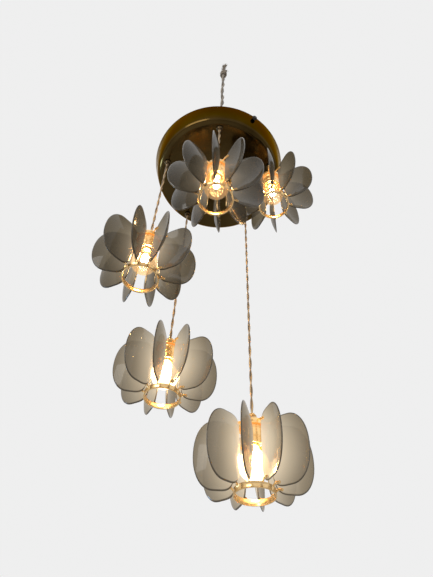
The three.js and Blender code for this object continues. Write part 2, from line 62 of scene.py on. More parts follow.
# The angle in degrees at which each flower's first petal stands
PETAL_TURNS = {
    "upper_right": 6, "upper_front": 12, "middle_left": 11, "lower_left": 9, "lower_right": 2,
}
# How strong the painted glow of lamplight on each flower's petals is, how fast that falls off, and
# how its globe glows
PAINTED_PETAL_GLOW_AND_GLOBE_GLOW = {
    "upper_right": (0.80, 2, 0.5), "upper_front": (0.80, 2, 0.5), "middle_left": (1.30, 2, 1.0),
    "lower_left": (2.80, 1.5, 14.0), "lower_right": (3.40, 1.5, 18.0),
}

# Petals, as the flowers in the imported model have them
PETAL_COUNT = 10
PETAL_MIDDLE = 57
PETAL_HALF_WIDTH = 30
PETAL_HALF_HEIGHT = 53
PETAL_HALF_THICKNESS = 1
PETAL_DISH = 9
PETAL_OUTER_FULLNESS = 2.15
PETAL_INNER_FULLNESS = 4.5

# Ropes and flexes: thickness, number of strands and length of one full twist, then how finely the
# strands are made, as the length of a step along them and the number of sides round them
Lay = namedtuple("Lay", "diameter strands pitch step sides")
ROPE = Lay(11, 2, 118, 1.6, 12)
LOOP_ROPE = Lay(8.6, 3, 22, 1.4, 10)
WRAP_ROPE = Lay(8.2, 3, 20, 1.4, 10)
TAIL_ROPE = Lay(4.8, 4, 14, 1.8, 8)
FLEX = Lay(5, 2, 56, 1.3, 10)
INNER_LEAD = Lay(4, 2, 30, 1.4, 10)

# Camera, solved from the photograph
CAMERA_LENS = 37.58
CAMERA_TILT = 48.13
CAMERA_ROLL = 2.44
CAMERA_FROM_CANOPY = Vector((0.0078, -0.5126, -0.9519))


def new_object(name, data):
    made = bpy.data.objects.new(name, data)
    scene.collection.objects.link(made)
    return made


def place_camera():
    data = bpy.data.cameras.new("photo_view")
    data.sensor_fit = "HORIZONTAL"
    data.sensor_width = 36
    data.lens = CAMERA_LENS
    data.clip_start = 0.01
    data.clip_end = 50
    tilt = math.radians(CAMERA_TILT)
    roll = math.radians(CAMERA_ROLL)
    ahead = Vector((0, math.cos(tilt), math.sin(tilt)))
    level_up = Vector((0, -math.sin(tilt), math.cos(tilt)))
    level_right = Vector((1, 0, 0))
    right = level_right * math.cos(roll) + level_up * math.sin(roll)
    up = level_up * math.cos(roll) - level_right * math.sin(roll)
    facing = Matrix((right, up, -ahead)).transposed().to_4x4()
    place = Vector((0, 0, underside_level)) + CAMERA_FROM_CANOPY
    camera = new_object("photo_view", data)
    camera.matrix_world = Matrix.Translation(place) @ facing
    scene.camera = camera


place_camera()


# Node trees

class Graph:
    """Adds nodes to a tree. An input has a name or a number, and takes a value or a socket."""

    def __init__(self, tree):
        self.tree = tree

    def add(self, kind, inputs=None, **settings):
        node = self.tree.nodes.new(kind)
        for key, value in settings.items():
            setattr(node, key, value)
        for key, value in (inputs or {}).items():
            self.feed(node.inputs[key], value)
        return node

    def feed(self, socket, value):
        if isinstance(value, bpy.types.NodeSocket):
            self.tree.links.new(value, socket)
        else:
            socket.default_value = value

    def math(self, operation, first, second=0.0):
        return self.add("ShaderNodeMath", {0: first, 1: second}, operation=operation).outputs[0]

    def vector_math(self, operation, first, second=(0, 0, 0)):
        inputs = {0: first, 1: second}
        return self.add("ShaderNodeVectorMath", inputs, operation=operation).outputs[0]

    def scaled(self, vector, factor):
        inputs = {0: vector, "Scale": factor}
        return self.add("ShaderNodeVectorMath", inputs, operation="SCALE").outputs[0]

    def keep(self, geometry, name, kind, value):
        """The geometry, with the value kept at each point under the name."""
        kept = self.add(
            "GeometryNodeStoreNamedAttribute", {"Geometry": geometry, "Name": name},
            data_type=kind, domain="POINT",
        )
        socket_type = {"FLOAT": "VALUE", "FLOAT_VECTOR": "VECTOR"}[kind]
        sockets = [socket for socket in kept.inputs if socket.name == "Value"]
        self.feed(next(socket for socket in sockets if socket.type == socket_type), value)
        return kept.outputs[0]

    def capture(self, geometry, name, value):
        """A node that gives the geometry first, and then the number as it is on it."""
        kept = self.add("GeometryNodeCaptureAttribute", {"Geometry": geometry})
        kept.capture_items.new("FLOAT", name)
        self.feed(kept.inputs[1], value)
        return kept


def geometry_tree(name, sizes):
    """An empty geometry tree with named inputs: geometry first, then sizes, then the material."""
    tree = bpy.data.node_groups.new(name, "GeometryNodeTree")
    tree.interface.new_socket("Geometry", in_out="INPUT", socket_type="NodeSocketGeometry")
    for size_name, (kind, value) in sizes.items():
        item = tree.interface.new_socket(size_name, in_out="INPUT", socket_type=kind)
        item.default_value = value
    tree.interface.new_socket("Material", in_out="INPUT", socket_type="NodeSocketMaterial")
    tree.interface.new_socket("Geometry", in_out="OUTPUT", socket_type="NodeSocketGeometry")
    graph = Graph(tree)
    given = graph.add("NodeGroupInput").outputs
    return tree, graph, given


def end_tree(graph, geometry, given):
    real = graph.add("GeometryNodeRealizeInstances", {"Geometry": geometry})
    dressed = graph.add("GeometryNodeSetMaterial", {
        "Geometry": real.outputs[0],
        "Material": given["Material"],
    })
    graph.add("NodeGroupOutput", {0: dressed.outputs[0]})


def tree_of_copies_around():
    """Copies of the host mesh, set at even angles round the Z axis."""
    tree, graph, given = geometry_tree("copies_around_axis", {
        "Count": ("NodeSocketInt", 10),
        "First Angle": ("NodeSocketFloat", 0.0),
    })
    points = graph.add("GeometryNodePoints", {"Count": given["Count"]})
    index = graph.add("GeometryNodeInputIndex").outputs[0]
    step = graph.math("DIVIDE", FULL_TURN, given["Count"])
    angle = graph.math("ADD", graph.math("MULTIPLY", index, step), given["First Angle"])
    facing = graph.add("FunctionNodeAxisAngleToRotation", {"Axis": (0, 0, 1), "Angle": angle})
    copies = graph.add("GeometryNodeInstanceOnPoints", {
        "Points": points.outputs[0],
        "Instance": given["Geometry"],
        "Rotation": facing.outputs[0],
    })
    end_tree(graph, copies.outputs[0], given)
    return tree


def tree_of_laid_strands():
    """Strands that twist round the host's line, as in a rope or a twisted flex."""
    tree, graph, given = geometry_tree("laid_strands", {
        "Strands": ("NodeSocketInt", 3),
        "Lay Radius": ("NodeSocketFloat", 0.003),
        "Strand Radius": ("NodeSocketFloat", 0.0025),
        "Pitch": ("NodeSocketFloat", 0.034),
        "Step": ("NodeSocketFloat", 0.0016),
        "Sides": ("NodeSocketInt", 12),
    })
    line = graph.add("GeometryNodeMeshToCurve", {"Mesh": given["Geometry"]})
    even = graph.add("GeometryNodeResampleCurve", {
        "Curve": line.outputs[0],
        "Length": given["Step"],
    }, mode="LENGTH")
    strands = graph.add("GeometryNodeDuplicateElements", {
        "Geometry": even.outputs[0],
        "Amount": given["Strands"],
    }, domain="SPLINE")
    along = graph.add("GeometryNodeSplineParameter").outputs["Length"]
    share = graph.math("DIVIDE", strands.outputs["Duplicate Index"], given["Strands"])
    turns = graph.math("ADD", graph.math("DIVIDE", along, given["Pitch"]), share)
    angle = graph.math("MULTIPLY", turns, FULL_TURN)
    normal = graph.add("GeometryNodeInputNormal").outputs[0]
    tangent = graph.add("GeometryNodeInputTangent").outputs[0]
    side = graph.vector_math("CROSS_PRODUCT", tangent, normal)
    across = graph.scaled(normal, graph.math("COSINE", angle))
    beside = graph.scaled(side, graph.math("SINE", angle))
    direction = graph.vector_math("ADD", across, beside)
    laid = graph.add("GeometryNodeSetPosition", {
        "Geometry": strands.outputs[0],
        "Offset": graph.scaled(direction, given["Lay Radius"]),
    })
    numbered = graph.keep(laid.outputs[0], "strand_share", "FLOAT", share)
    kept_along = graph.capture(numbered, "along", along)
    profile = graph.add("GeometryNodeCurvePrimitiveCircle", {
        "Resolution": given["Sides"],
        "Radius": given["Strand Radius"],
    })
    around = graph.add("GeometryNodeSplineParameter").outputs["Factor"]
    kept_round = graph.capture(profile.outputs[0], "round", around)
    tube = graph.add("GeometryNodeCurveToMesh", {
        "Curve": kept_along.outputs[0],
        "Profile Curve": kept_round.outputs[0],
        "Fill Caps": True,
    })
    round_angle = graph.math("MULTIPLY", kept_round.outputs[1], FULL_TURN)
    yarn_place = graph.add("ShaderNodeCombineXYZ", {
        0: graph.math("MULTIPLY", graph.math("COSINE", round_angle), given["Strand Radius"]),
        1: graph.math("MULTIPLY", graph.math("SINE", round_angle), given["Strand Radius"]),
        2: kept_along.outputs[1],
    })
    placed = graph.keep(tube.outputs[0], "yarn_place", "FLOAT_VECTOR", yarn_place.outputs[0])
    smooth = graph.add("GeometryNodeSetShadeSmooth", {"Geometry": placed})
    end_tree(graph, smooth.outputs[0], given)
    return tree


def tree_of_loose_fibres():
    """Short bent fibres that stand off the host's surface."""
    tree, graph, given = geometry_tree("loose_fibres", {
        "Density": ("NodeSocketFloat", 40000.0),
        "Fibre Length": ("NodeSocketFloat", 0.005),
        "Fibre Radius": ("NodeSocketFloat", 0.00012),
        "Seed": ("NodeSocketInt", 5),
    })
    roots = graph.add("GeometryNodeDistributePointsOnFaces", {
        "Mesh": given["Geometry"],
        "Density": given["Density"],
        "Seed": given["Seed"],
    }, distribute_method="RANDOM")
    line = graph.add("GeometryNodeCurveQuadraticBezier", {
        "Resolution": 3,
        "Start": (0, 0, 0),
        "Middle": graph.scaled((0.35, 0, 0.25), given["Fibre Length"]),
        "End": graph.scaled((0.9, 0.1, 0.3), given["Fibre Length"]),
    })
    profile = graph.add("GeometryNodeCurvePrimitiveCircle", {
        "Resolution": 3,
        "Radius": given["Fibre Radius"],
    })
    fibre = graph.add("GeometryNodeCurveToMesh", {
        "Curve": line.outputs[0],
        "Profile Curve": profile.outputs[0],
    })
    spin = graph.add("FunctionNodeRandomValue", {
        0: (-0.35, -0.3, -math.pi),
        1: (0.35, 0.3, math.pi),
        8: given["Seed"],
    }, data_type="FLOAT_VECTOR")
    facing = graph.add("FunctionNodeRotateRotation", {
        "Rotation": roots.outputs["Rotation"],
        "Rotate By": spin.outputs[0],
    }, rotation_space="LOCAL")
    size = graph.add("FunctionNodeRandomValue", {
        2: 0.45,
        3: 1.0,
        8: given["Seed"],
    }, data_type="FLOAT")
    copies = graph.add("GeometryNodeInstanceOnPoints", {
        "Points": roots.outputs["Points"],
        "Instance": fibre.outputs[0],
        "Rotation": facing.outputs[0],
        "Scale": size.outputs[1],
    })
    end_tree(graph, copies.outputs[0], given)
    return tree


copies_around = tree_of_copies_around()
laid_strands = tree_of_laid_strands()
loose_fibres = tree_of_loose_fibres()


def evaluated(host):
    """The plain mesh of an object with its modifiers done."""
    depsgraph = bpy.context.evaluated_depsgraph_get()
    return bpy.data.meshes.new_from_object(host.evaluated_get(depsgraph))


def grown(tree, mesh, **values):
    """The plain mesh that the tree makes from the host mesh."""
    host = new_object("host", mesh)
    modifier = host.modifiers.new("grown", "NODES")
    modifier.node_group = tree
    for item in tree.interface.items_tree:
        key = item.name.lower().replace(" ", "_")
        if item.in_out == "INPUT" and key in values:
            modifier[item.identifier] = values[key]
    made = evaluated(host)
    bpy.data.objects.remove(host)
    return made


# Finishes

def new_finish(name):
    material = bpy.data.materials.new(name)
    material.use_nodes = True
    material.node_tree.nodes.clear()
    return material, Graph(material.node_tree)


def opaque_surface(graph, sockets):
    shader = graph.add("ShaderNodeBsdfPrincipled", sockets)
    graph.add("ShaderNodeOutputMaterial", {"Surface": shader.outputs[0]})


def mottle(graph, place, scale, detail=4.0):
    inputs = {"Vector": place, "Scale": scale, "Detail": detail}
    return graph.add("ShaderNodeTexNoise", inputs).outputs["Fac"]


def between(graph, share, low, high):
    """A value that goes from low to high as share goes from 0.3 to 0.7."""
    return graph.add("ShaderNodeMapRange", {
        "Value": share,
        "From Min": 0.3,
        "From Max": 0.7,
        "To Min": low,
        "To Max": high,
    }).outputs[0]


def tint(graph, share, dark, light):
    mix = graph.add("ShaderNodeMix", {0: share, 6: (*dark, 1), 7: (*light, 1)}, data_type="RGBA")
    return mix.outputs[2]


def scratches(graph, place, scale, stretch):
    """Fine lines, long where the stretch of a direction is small."""
    drawn_out = graph.vector_math("MULTIPLY", place, stretch)
    return mottle(graph, drawn_out, scale, 3.0)


def relief(graph, height, strength, distance=0.0003):
    inputs = {"Height": height, "Strength": strength, "Distance": distance}
    return graph.add("ShaderNodeBump", inputs).outputs[0]


def object_place(graph):
    return graph.add("ShaderNodeTexCoord").outputs["Object"]


def stored(graph, name, output="Fac"):
    """A number that the mesh keeps at each of its points, or a vector."""
    node = graph.add("ShaderNodeAttribute", attribute_name=name, attribute_type="GEOMETRY")
    return node.outputs[output]


def smoked_petal():
    """Smoked clear plastic, half seen through, with a dark cut edge and a painted glow of lamplight
    near the bulb.
    """
    material, graph = new_finish("smoked_petal")
    place = object_place(graph)
    cloud = mottle(graph, place, 26)
    hand_marks = mottle(graph, place, 70, 6.0)
    each = graph.add("ShaderNodeNewGeometry").outputs["Random Per Island"]
    cloud_part = graph.math("MULTIPLY", cloud, 0.6)
    share = graph.math("ADD", cloud_part, graph.math("MULTIPLY", each, 0.4))
    hair_lines = scratches(graph, place, 240, (1, 1, 0.08))
    plastic = graph.add("ShaderNodeBsdfPrincipled", {
        "Base Color": tint(graph, share, (0.018, 0.014, 0.007), (0.048, 0.038, 0.021)),
        "Roughness": between(graph, hand_marks, 0.20, 0.36),
        "IOR": 1.45,
        "Specular IOR Level": 0.12,
        "Coat Weight": 0.8,
        "Coat Roughness": 0.04,
        "Normal": relief(graph, hair_lines, 0.06, 0.0004),
        # Painted glow: emission that stands in for the bulb's light scattered in the plastic,
        # strongest near the bulb
        "Emission Color": tint(graph, cloud, (0.98, 0.80, 0.56), (1.0, 0.87, 0.66)),
        "Emission Strength": stored(graph, "lamp_glow"),
    })
    glow = graph.add("ShaderNodeBsdfTranslucent", {
        "Color": tint(graph, cloud, (0.30, 0.22, 0.12), (0.42, 0.33, 0.20)),
    })
    body = graph.add("ShaderNodeMixShader", {
        0: 0.05,
        1: plastic.outputs[0],
        2: glow.outputs[0],
    })
    clear = graph.add("ShaderNodeBsdfTransparent", {"Color": (0.135, 0.108, 0.068, 1)})
    seen_through = graph.add("ShaderNodeMixShader", {
        0: stored(graph, "clearness"),
        1: body.outputs[0],
        2: clear.outputs[0],
    })
    inside = graph.add("ShaderNodeBsdfTransparent", {"Color": (1, 1, 1, 1)})
    shown = graph.add("ShaderNodeMixShader", {
        0: graph.add("ShaderNodeNewGeometry").outputs["Backfacing"],
        1: seen_through.outputs[0],
        2: inside.outputs[0],
    })
    graph.add("ShaderNodeOutputMaterial", {"Surface": shown.outputs[0]})
    return material


def metal(name, dark, light, rough, clouds, lines, line_run, line_depth, lamp_light=0.0):
    """Plated or polished metal. rough is the range of its roughness, clouds and lines are the
    scales of its mottle and scratches, and the last argument is the strength of a painted glow that
    stands in for the bulb's light on it."""
    material, graph = new_finish(name)
    place = object_place(graph)
    cloud = mottle(graph, place, clouds, 5.0)
    fine = mottle(graph, place, clouds * 6)
    marks = scratches(graph, place, lines, line_run)
    opaque_surface(graph, {
        "Base Color": tint(graph, between(graph, cloud, 0.0, 1.0), dark, light),
        "Metallic": 1.0,
        "Roughness": between(graph, fine, *rough),
        "Normal": relief(graph, marks, line_depth),
        # Painted glow: an orange emission that stands in for the bulb's light on the metal
        "Emission Color": (1.0, 0.50, 0.14, 1),
        "Emission Strength": lamp_light,
    })
    return material


def dark_canopy_mirror():
    """Dark bronze mirror with the faint rings that spinning leaves, and dull clouds of tarnish."""
    material, graph = new_finish("dark_canopy_mirror")
    place = object_place(graph)
    parts = graph.add("ShaderNodeSeparateXYZ", {0: place}).outputs
    squares = [graph.math("MULTIPLY", parts[i], parts[i]) for i in (0, 1)]
    radius = graph.math("SQRT", graph.math("ADD", *squares))
    ring_place = graph.add("ShaderNodeCombineXYZ", {0: radius, 1: 0.0, 2: parts[2]}).outputs[0]
    spun_rings = mottle(graph, ring_place, 900, 2.0)
    cloud = between(graph, mottle(graph, place, 9, 5.0), 0.0, 1.0)
    wipe_marks = mottle(graph, place, 48, 6.0)
    opaque_surface(graph, {
        "Base Color": tint(graph, cloud, (0.040, 0.024, 0.007), (0.088, 0.055, 0.018)),
        "Specular Tint": (0.62, 0.47, 0.28, 1),
        "Metallic": 1.0,
        "Roughness": between(graph, wipe_marks, 0.09, 0.22),
        "Normal": relief(graph, spun_rings, 0.05),
    })
    return material


def moulded(name, dark, light, clouds, rough, grain_scale, grain_depth):
    """Plastic or porcelain. rough is the range of its roughness, which follows its grain."""
    material, graph = new_finish(name)
    place = object_place(graph)
    cloud = mottle(graph, place, clouds, 5.0)
    grain = mottle(graph, place, grain_scale, 3.0)
    opaque_surface(graph, {
        "Base Color": tint(graph, between(graph, cloud, 0.0, 1.0), dark, light),
        "Roughness": between(graph, grain, *rough),
        "Normal": relief(graph, grain, grain_depth),
    })
    return material


def yarn(name, dark, light, roughness, sheen, depth):
    """Fibre or covered wire whose threads run along each strand."""
    material, graph = new_finish(name)
    place = stored(graph, "yarn_place", "Vector")
    threads = scratches(graph, place, 2600, (1, 1, 0.05))
    patches = mottle(graph, place, 60)
    thread_part = graph.math("MULTIPLY", threads, 0.5)
    share = graph.math("ADD", thread_part, graph.math("MULTIPLY", patches, 0.3))
    strand_part = graph.math("MULTIPLY", stored(graph, "strand_share"), 0.5)
    share = graph.math("ADD", share, strand_part)
    opaque_surface(graph, {
        "Base Color": tint(graph, between(graph, share, 0.0, 1.0), dark, light),
        "Roughness": roughness,
        "Sheen Weight": sheen,
        "Normal": relief(graph, threads, depth, 0.0004),
    })
    return material


def lit_bulb_glass():
    """Thin glass with a faint opal coat that swirls, lit from inside."""
    material, graph = new_finish("lit_bulb_glass")
    swirl = mottle(graph, object_place(graph), 60, 3.0)
    glass = graph.add("ShaderNodeBsdfPrincipled", {
        "Base Color": (0.06, 0.05, 0.04, 1),
        "Roughness": between(graph, swirl, 0.08, 0.2),
        "Emission Color": tint(graph, swirl, (1.0, 0.66, 0.34), (1.0, 0.78, 0.50)),
        "Emission Strength": stored(graph, "globe_glow"),
    })
    clear = graph.add("ShaderNodeBsdfTransparent", {"Color": (1.0, 0.93, 0.82, 1)})
    shown = graph.add("ShaderNodeMixShader", {0: 0.90, 1: glass.outputs[0], 2: clear.outputs[0]})
    graph.add("ShaderNodeOutputMaterial", {"Surface": shown.outputs[0]})
    return material


def glowing_core():
    """The burner inside the bulb, too bright to look at."""
    material, graph = new_finish("glowing_core")
    swirl = mottle(graph, object_place(graph), 90, 2.0)
    opaque_surface(graph, {
        "Base Color": (0.9, 0.8, 0.6, 1),
        "Roughness": 0.4,
        "Emission Color": tint(graph, swirl, (1.0, 0.66, 0.32), (1.0, 0.78, 0.48)),
        "Emission Strength": 170.0,
    })
    return material


GOLD_TONES = {"dark": (0.80, 0.50, 0.20), "light": (0.93, 0.66, 0.33)}
POLISH = {"clouds": 60, "lines": 900, "line_run": (1, 1, 0.1), "line_depth": 0.08}
SMOKED = smoked_petal()
MIRROR = dark_canopy_mirror()
GILT = metal("gilt", **GOLD_TONES, **POLISH, rough=(0.14, 0.30))
DARK_BRONZE = metal(
    "dark_bronze", (0.050, 0.032, 0.014), (0.12, 0.082, 0.042), rough=(0.12, 0.26), **POLISH)
# Gilt with a painted orange glow that stands in for the bulb's light on the upper ring and the lamp
# sleeve
GILT_WITH_PAINTED_GLOW = metal("lit_gilt", **GOLD_TONES, **POLISH, rough=(0.14, 0.30), lamp_light=0.30)
ZINC = metal(
    "zinc_plate", (0.42, 0.42, 0.40), (0.68, 0.67, 0.63), rough=(0.28, 0.48),
    clouds=120, lines=700, line_run=(0.1, 1, 1), line_depth=0.15)
BRASS = metal(
    "brass_thread", (0.62, 0.44, 0.20), (0.80, 0.61, 0.32), rough=(0.22, 0.38),
    clouds=90, lines=900, line_run=(1, 1, 0.2), line_depth=0.1)
BLACK = moulded(
    "black_moulding", (0.016, 0.015, 0.013), (0.036, 0.032, 0.028),
    clouds=30, rough=(0.38, 0.55), grain_scale=1500, grain_depth=0.2)
PORCELAIN = moulded(
    "glazed_porcelain", (0.76, 0.72, 0.62), (0.86, 0.83, 0.76),
    clouds=40, rough=(0.10, 0.2), grain_scale=400, grain_depth=0.05)
ROPE_YARN = yarn(
    "rope_yarn", (0.085, 0.058, 0.034), (0.34, 0.27, 0.19), roughness=0.9, sheen=0.35, depth=0.9)
FLEX_YARN = yarn(
    "flex_yarn", (0.12, 0.070, 0.030), (0.62, 0.43, 0.22), roughness=0.34, sheen=0.2, depth=0.35)
BULB_GLASS = lit_bulb_glass()
CORE = glowing_core()


# Meshes

def mesh_from(name, form):
    mesh = bpy.data.meshes.new(name)
    form.to_mesh(mesh)
    form.free()
    return mesh


def shaded(mesh, sharp):
    """The mesh, shaded smooth but for edges sharper than the angle in degrees."""
    mesh.polygons.foreach_set("use_smooth", [True] * len(mesh.polygons))
    mesh.set_sharp_from_angle(angle=math.radians(sharp))
    return mesh


def mesh_of(name, points, faces, sharp=35):
    """A closed mesh from points in millimetres, with its normals outwards."""
    form = bmesh.new()
    corners = [form.verts.new(Vector(point) * MM) for point in points]
    for face in faces:
        form.faces.new([corners[i] for i in face])
    bmesh.ops.remove_doubles(form, verts=form.verts, dist=1e-7)
    bmesh.ops.recalc_face_normals(form, faces=form.faces)
    return shaded(mesh_from(name, form), sharp)


def skin(rows, closed=False):
    """Faces from each row of point numbers to the next. A row runs right round, and a pole is one
    number repeated. closed joins the last row to the first."""
    faces = []
    for low, high in zip(rows, rows[1:] + (rows[:1] if closed else [])):
        for k in range(len(low)):
            following = (k + 1) % len(low)
            face = list(dict.fromkeys([low[k], low[following], high[following], high[k]]))
            if len(face) > 2:
                faces.append(face)
    return faces


def numbered_rows(count, length):
    """Rows of point numbers, where each row of that length follows the one before."""
    return [list(range(i * length, (i + 1) * length)) for i in range(count)]


def bend(start, corner, end, steps):
    """Points of a smooth bend that leaves the start and reaches the end as if by the corner."""
    points = []
    for step in range(steps + 1):
        t = step / steps
        points.append(tuple(start * (1 - t) ** 2 + corner * 2 * t * (1 - t) + end * t ** 2))
    return points


def arc(middle, level, radius, first, last, steps):
    """Outline points on an arc round (middle, level), from the first angle to the last."""
    return [
        (middle + radius * math.cos(angle), level + radius * math.sin(angle))
        for angle in np.linspace(first, last, steps + 1)
    ]


def rounded(corners, steps=4):
    """An outline of (radius, height) corners. A corner's third number is how far it is rounded."""
    outline = []
    for i, corner in enumerate(corners):
        here = Vector(corner[:2])
        rounding = corner[2] if len(corner) > 2 else 0
        if not rounding or i in (0, len(corners) - 1):
            outline.append(tuple(here))
            continue
        before = Vector(corners[i - 1][:2]) - here
        after = Vector(corners[i + 1][:2]) - here
        reach = min(rounding, before.length * 0.49, after.length * 0.49)
        start = here + before.normalized() * reach
        end = here + after.normalized() * reach
        outline += bend(start, here, end, steps)
    return outline


def turned(name, outline, sides, sharp=35):
    """A turned mesh of (radius, height) points. An outline that ends where it starts is a ring."""
    closed = outline[0] == outline[-1]
    points = []
    rows = []
    for radius, height in outline[:-1] if closed else outline:
        if radius < 1e-6:
            rows.append([len(points)] * sides)
            points.append((0, 0, height))
            continue
        rows.append(list(range(len(points), len(points) + sides)))
        for k in range(sides):
            angle = FULL_TURN * k / sides
            points.append((radius * math.cos(angle), radius * math.sin(angle), height))
    return mesh_of(name, points, skin(rows, closed), sharp)


def rod_mesh(radius, low, high):
    return turned("rod", [(0, low), (radius, low), (radius, high), (0, high)], 32)


def threaded_rod(radius, depth, pitch, low, high, sides=32, steps=14):
    """A rod on the Z axis with a rolled thread. depth is half the thread's height."""
    points = []
    count = int((high - low) / pitch * steps) + 1
    for i in range(count):
        for k in range(sides):
            angle = FULL_TURN * k / sides
            here = radius + depth * math.cos(FULL_TURN * (i / steps - k / sides))
            points.append((here * math.cos(angle), here * math.sin(angle), low + pitch * i / steps))
    rows = numbered_rows(count, sides)
    return mesh_of("thread", points, [rows[0][::-1], rows[-1], *skin(rows)], 60)


def ring_tube(radius, wire, around, sides):
    """A wire bent to a ring in the XZ plane."""
    points = []
    for i in range(around):
        turned_by = FULL_TURN * i / around
        for k in range(sides):
            angle = FULL_TURN * k / sides
            reach = radius + wire * math.cos(angle)
            points.append((
                reach * math.cos(turned_by), wire * math.sin(angle), reach * math.sin(turned_by)))
    return mesh_of("ring", points, skin(numbered_rows(around, sides), closed=True), 60)


def hex_nut(radius, height, bore):
    """A six-sided nut that stands on the XY plane, with its corners turned down."""
    chamfer = 0.93 * radius
    profile = [
        (chamfer, 0), (radius, 0.5), (radius, height - 0.5), (chamfer, height),
        (bore, height), (bore, 0),
    ]
    steps = 4
    sixth = math.pi / 3
    flat_reach = radius * math.cos(sixth / 2)
    points = []
    for reach, level in profile:
        for k in range(6 * steps):
            angle = sixth * (k / steps)
            off_flat = (k % steps) / steps * sixth - sixth / 2
            here = reach if reach == bore else min(reach, flat_reach / math.cos(off_flat))
            points.append((here * math.cos(angle), here * math.sin(angle), level))
    rows = numbered_rows(len(profile), 6 * steps)
    return mesh_of("hex_nut", points, skin(rows, closed=True), 25)


def plate(name, half_x, half_y, half_z, edge):
    """A block with all its edges rounded, about the origin."""
    form = bmesh.new()
    bmesh.ops.create_cube(form, size=2)
    bmesh.ops.scale(form, vec=Vector((half_x, half_y, half_z)) * MM, verts=form.verts)
    bmesh.ops.bevel(form, geom=form.edges[:] + form.verts[:], offset=edge * MM, segments=3,
                    profile=0.5, affect="EDGES")
    return shaded(mesh_from(name, form), 40)


def line_mesh(name, points):
    """A line through points in millimetres, for strands to be laid on."""
    mesh = bpy.data.meshes.new(name)
    places = [Vector(point) * MM for point in points]
    mesh.from_pydata(places, [(i, i + 1) for i in range(len(places) - 1)], [])
    return mesh


def joined(name, meshes):
    """One mesh of several, each with its own place already in it."""
    form = bmesh.new()
    for mesh in meshes:
        form.from_mesh(mesh)
    return mesh_from(name, form)


def pierced(mesh, cutters):
    """The mesh with the cutters taken out of it."""
    host = new_object("host", mesh)
    helpers = [new_object("cutter", cutter) for cutter in cutters]
    for helper in helpers:
        modifier = host.modifiers.new("hole", "BOOLEAN")
        modifier.operation = "DIFFERENCE"
        modifier.solver = "EXACT"
        modifier.object = helper
    made = evaluated(host)
    for helper in [host, *helpers]:
        bpy.data.objects.remove(helper)
    return made


def around_axis(mesh, finish, count=PETAL_COUNT, first=0.0):
    """Copies of the mesh round the Z axis, the first of them turned by so many degrees."""
    return grown(copies_around, mesh, count=count, first_angle=math.radians(first), material=finish)


def moved(mesh, *steps):
    """A copy of the mesh after the steps, in their order."""
    copy = mesh.copy()
    for step in steps:
        copy.transform(step)
    return copy


def shift(x=0.0, y=0.0, z=0.0):
    """A move in millimetres."""
    return Matrix.Translation(Vector((x, y, z)) * MM)


def turn(degrees, axis="Z"):
    return Matrix.Rotation(math.radians(degrees), 4, axis)


def add_piece(name, mesh, finish, body, slot, *nodes):
    """A finished piece that rides on a body and stands for the nodes."""
    mesh.name = name
    mesh.materials.clear()
    mesh.materials.append(finish)
    piece = new_object(name, mesh)
    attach(piece, body)
    if nodes:
        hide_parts(*nodes)
    return piece


# Rope, hitch and knot

ROPE_WAVE = 1.6
ROPE_STEPS = 40
WRAP_STEPS = 24
WRAP_TUCK = 0.12
LOOP_RADIUS = 13
LOOP_ABOVE_RIM = 39.5
HITCH_HEIGHT = 30
# Length, outward spread and lean to the right of each strand that has come apart above the knot
TAIL_STRANDS = [(99, 2.5, 0), (84, 4.5, 6), (66, 4.0, 9), (92, 3.0, 2), (40, 3.0, 8)]
TAIL_FOOT = 17
TAIL_FOOT_RADIUS = 2.6
TAIL_TWIST = 2.2
TAIL_STEPS = 20


def laid_rope(name, points, lay, finish):
    """Touching strands laid round a line."""
    spread = 1 / math.sin(math.pi / lay.strands)
    strand = lay.diameter / 2 / (1 + spread)
    return grown(
        laid_strands, line_mesh(name, points), strands=lay.strands, lay_radius=strand * spread * MM,
        strand_radius=strand * MM, pitch=lay.pitch * MM, step=lay.step * MM, sides=lay.sides,
        material=finish)


def fibres_on(mesh, density, fibre_length, fibre_radius, seed):
    """Loose fibres on a mesh, so many to the square metre, with their sizes in metres."""
    return grown(
        loose_fibres, mesh, density=density, fibre_length=fibre_length, fibre_radius=fibre_radius,
        seed=seed, material=ROPE_YARN)


def rope_part(name, mesh, *nodes):
    return add_piece(name, mesh, ROPE_YARN, "root", "rope_fibre", *nodes)


def straight_line(x, y, low, high, steps):
    return [(x, y, low + (high - low) * i / steps) for i in range(steps + 1)]


def wrap_line(radius, low, high, turns):
    """A helix that comes out of the middle, winds upwards and tucks in again."""
    steps = int(WRAP_STEPS * turns)
    points = []
    for i in range(steps + 1):
        t = i / steps
        angle = FULL_TURN * turns * t
        edge = min(1.0, t / WRAP_TUCK, (1 - t) / WRAP_TUCK)
        reach = radius * math.sin(math.pi / 2 * edge) ** 0.6 if edge > 0 else 0.0
        points.append((reach * math.cos(angle), reach * math.sin(angle), low + (high - low) * t))
    return points


def wavy_line(low, high):
    """The rope's middle, which wanders a little between its knots."""
    points = []
    for i in range(ROPE_STEPS + 1):
        t = i / ROPE_STEPS
        wave = ROPE_WAVE * math.sin(math.pi * t)
        points.append((wave * math.sin(23 * t), wave * math.cos(17 * t), low + (high - low) * t))
    return points


def tail_line(number, length, spread, lean):
    """One strand of the rope's end, which twists a little and leaves the others as it rises."""
    points = []
    for i in range(TAIL_STEPS + 1):
        t = i / TAIL_STEPS
        angle = FULL_TURN * number / len(TAIL_STRANDS) + TAIL_TWIST * t
        reach = TAIL_FOOT_RADIUS + spread * t ** 1.6
        x = reach * math.cos(angle) + lean * t * t
        points.append((x, reach * math.sin(angle), TAIL_FOOT + length * t))
    return points


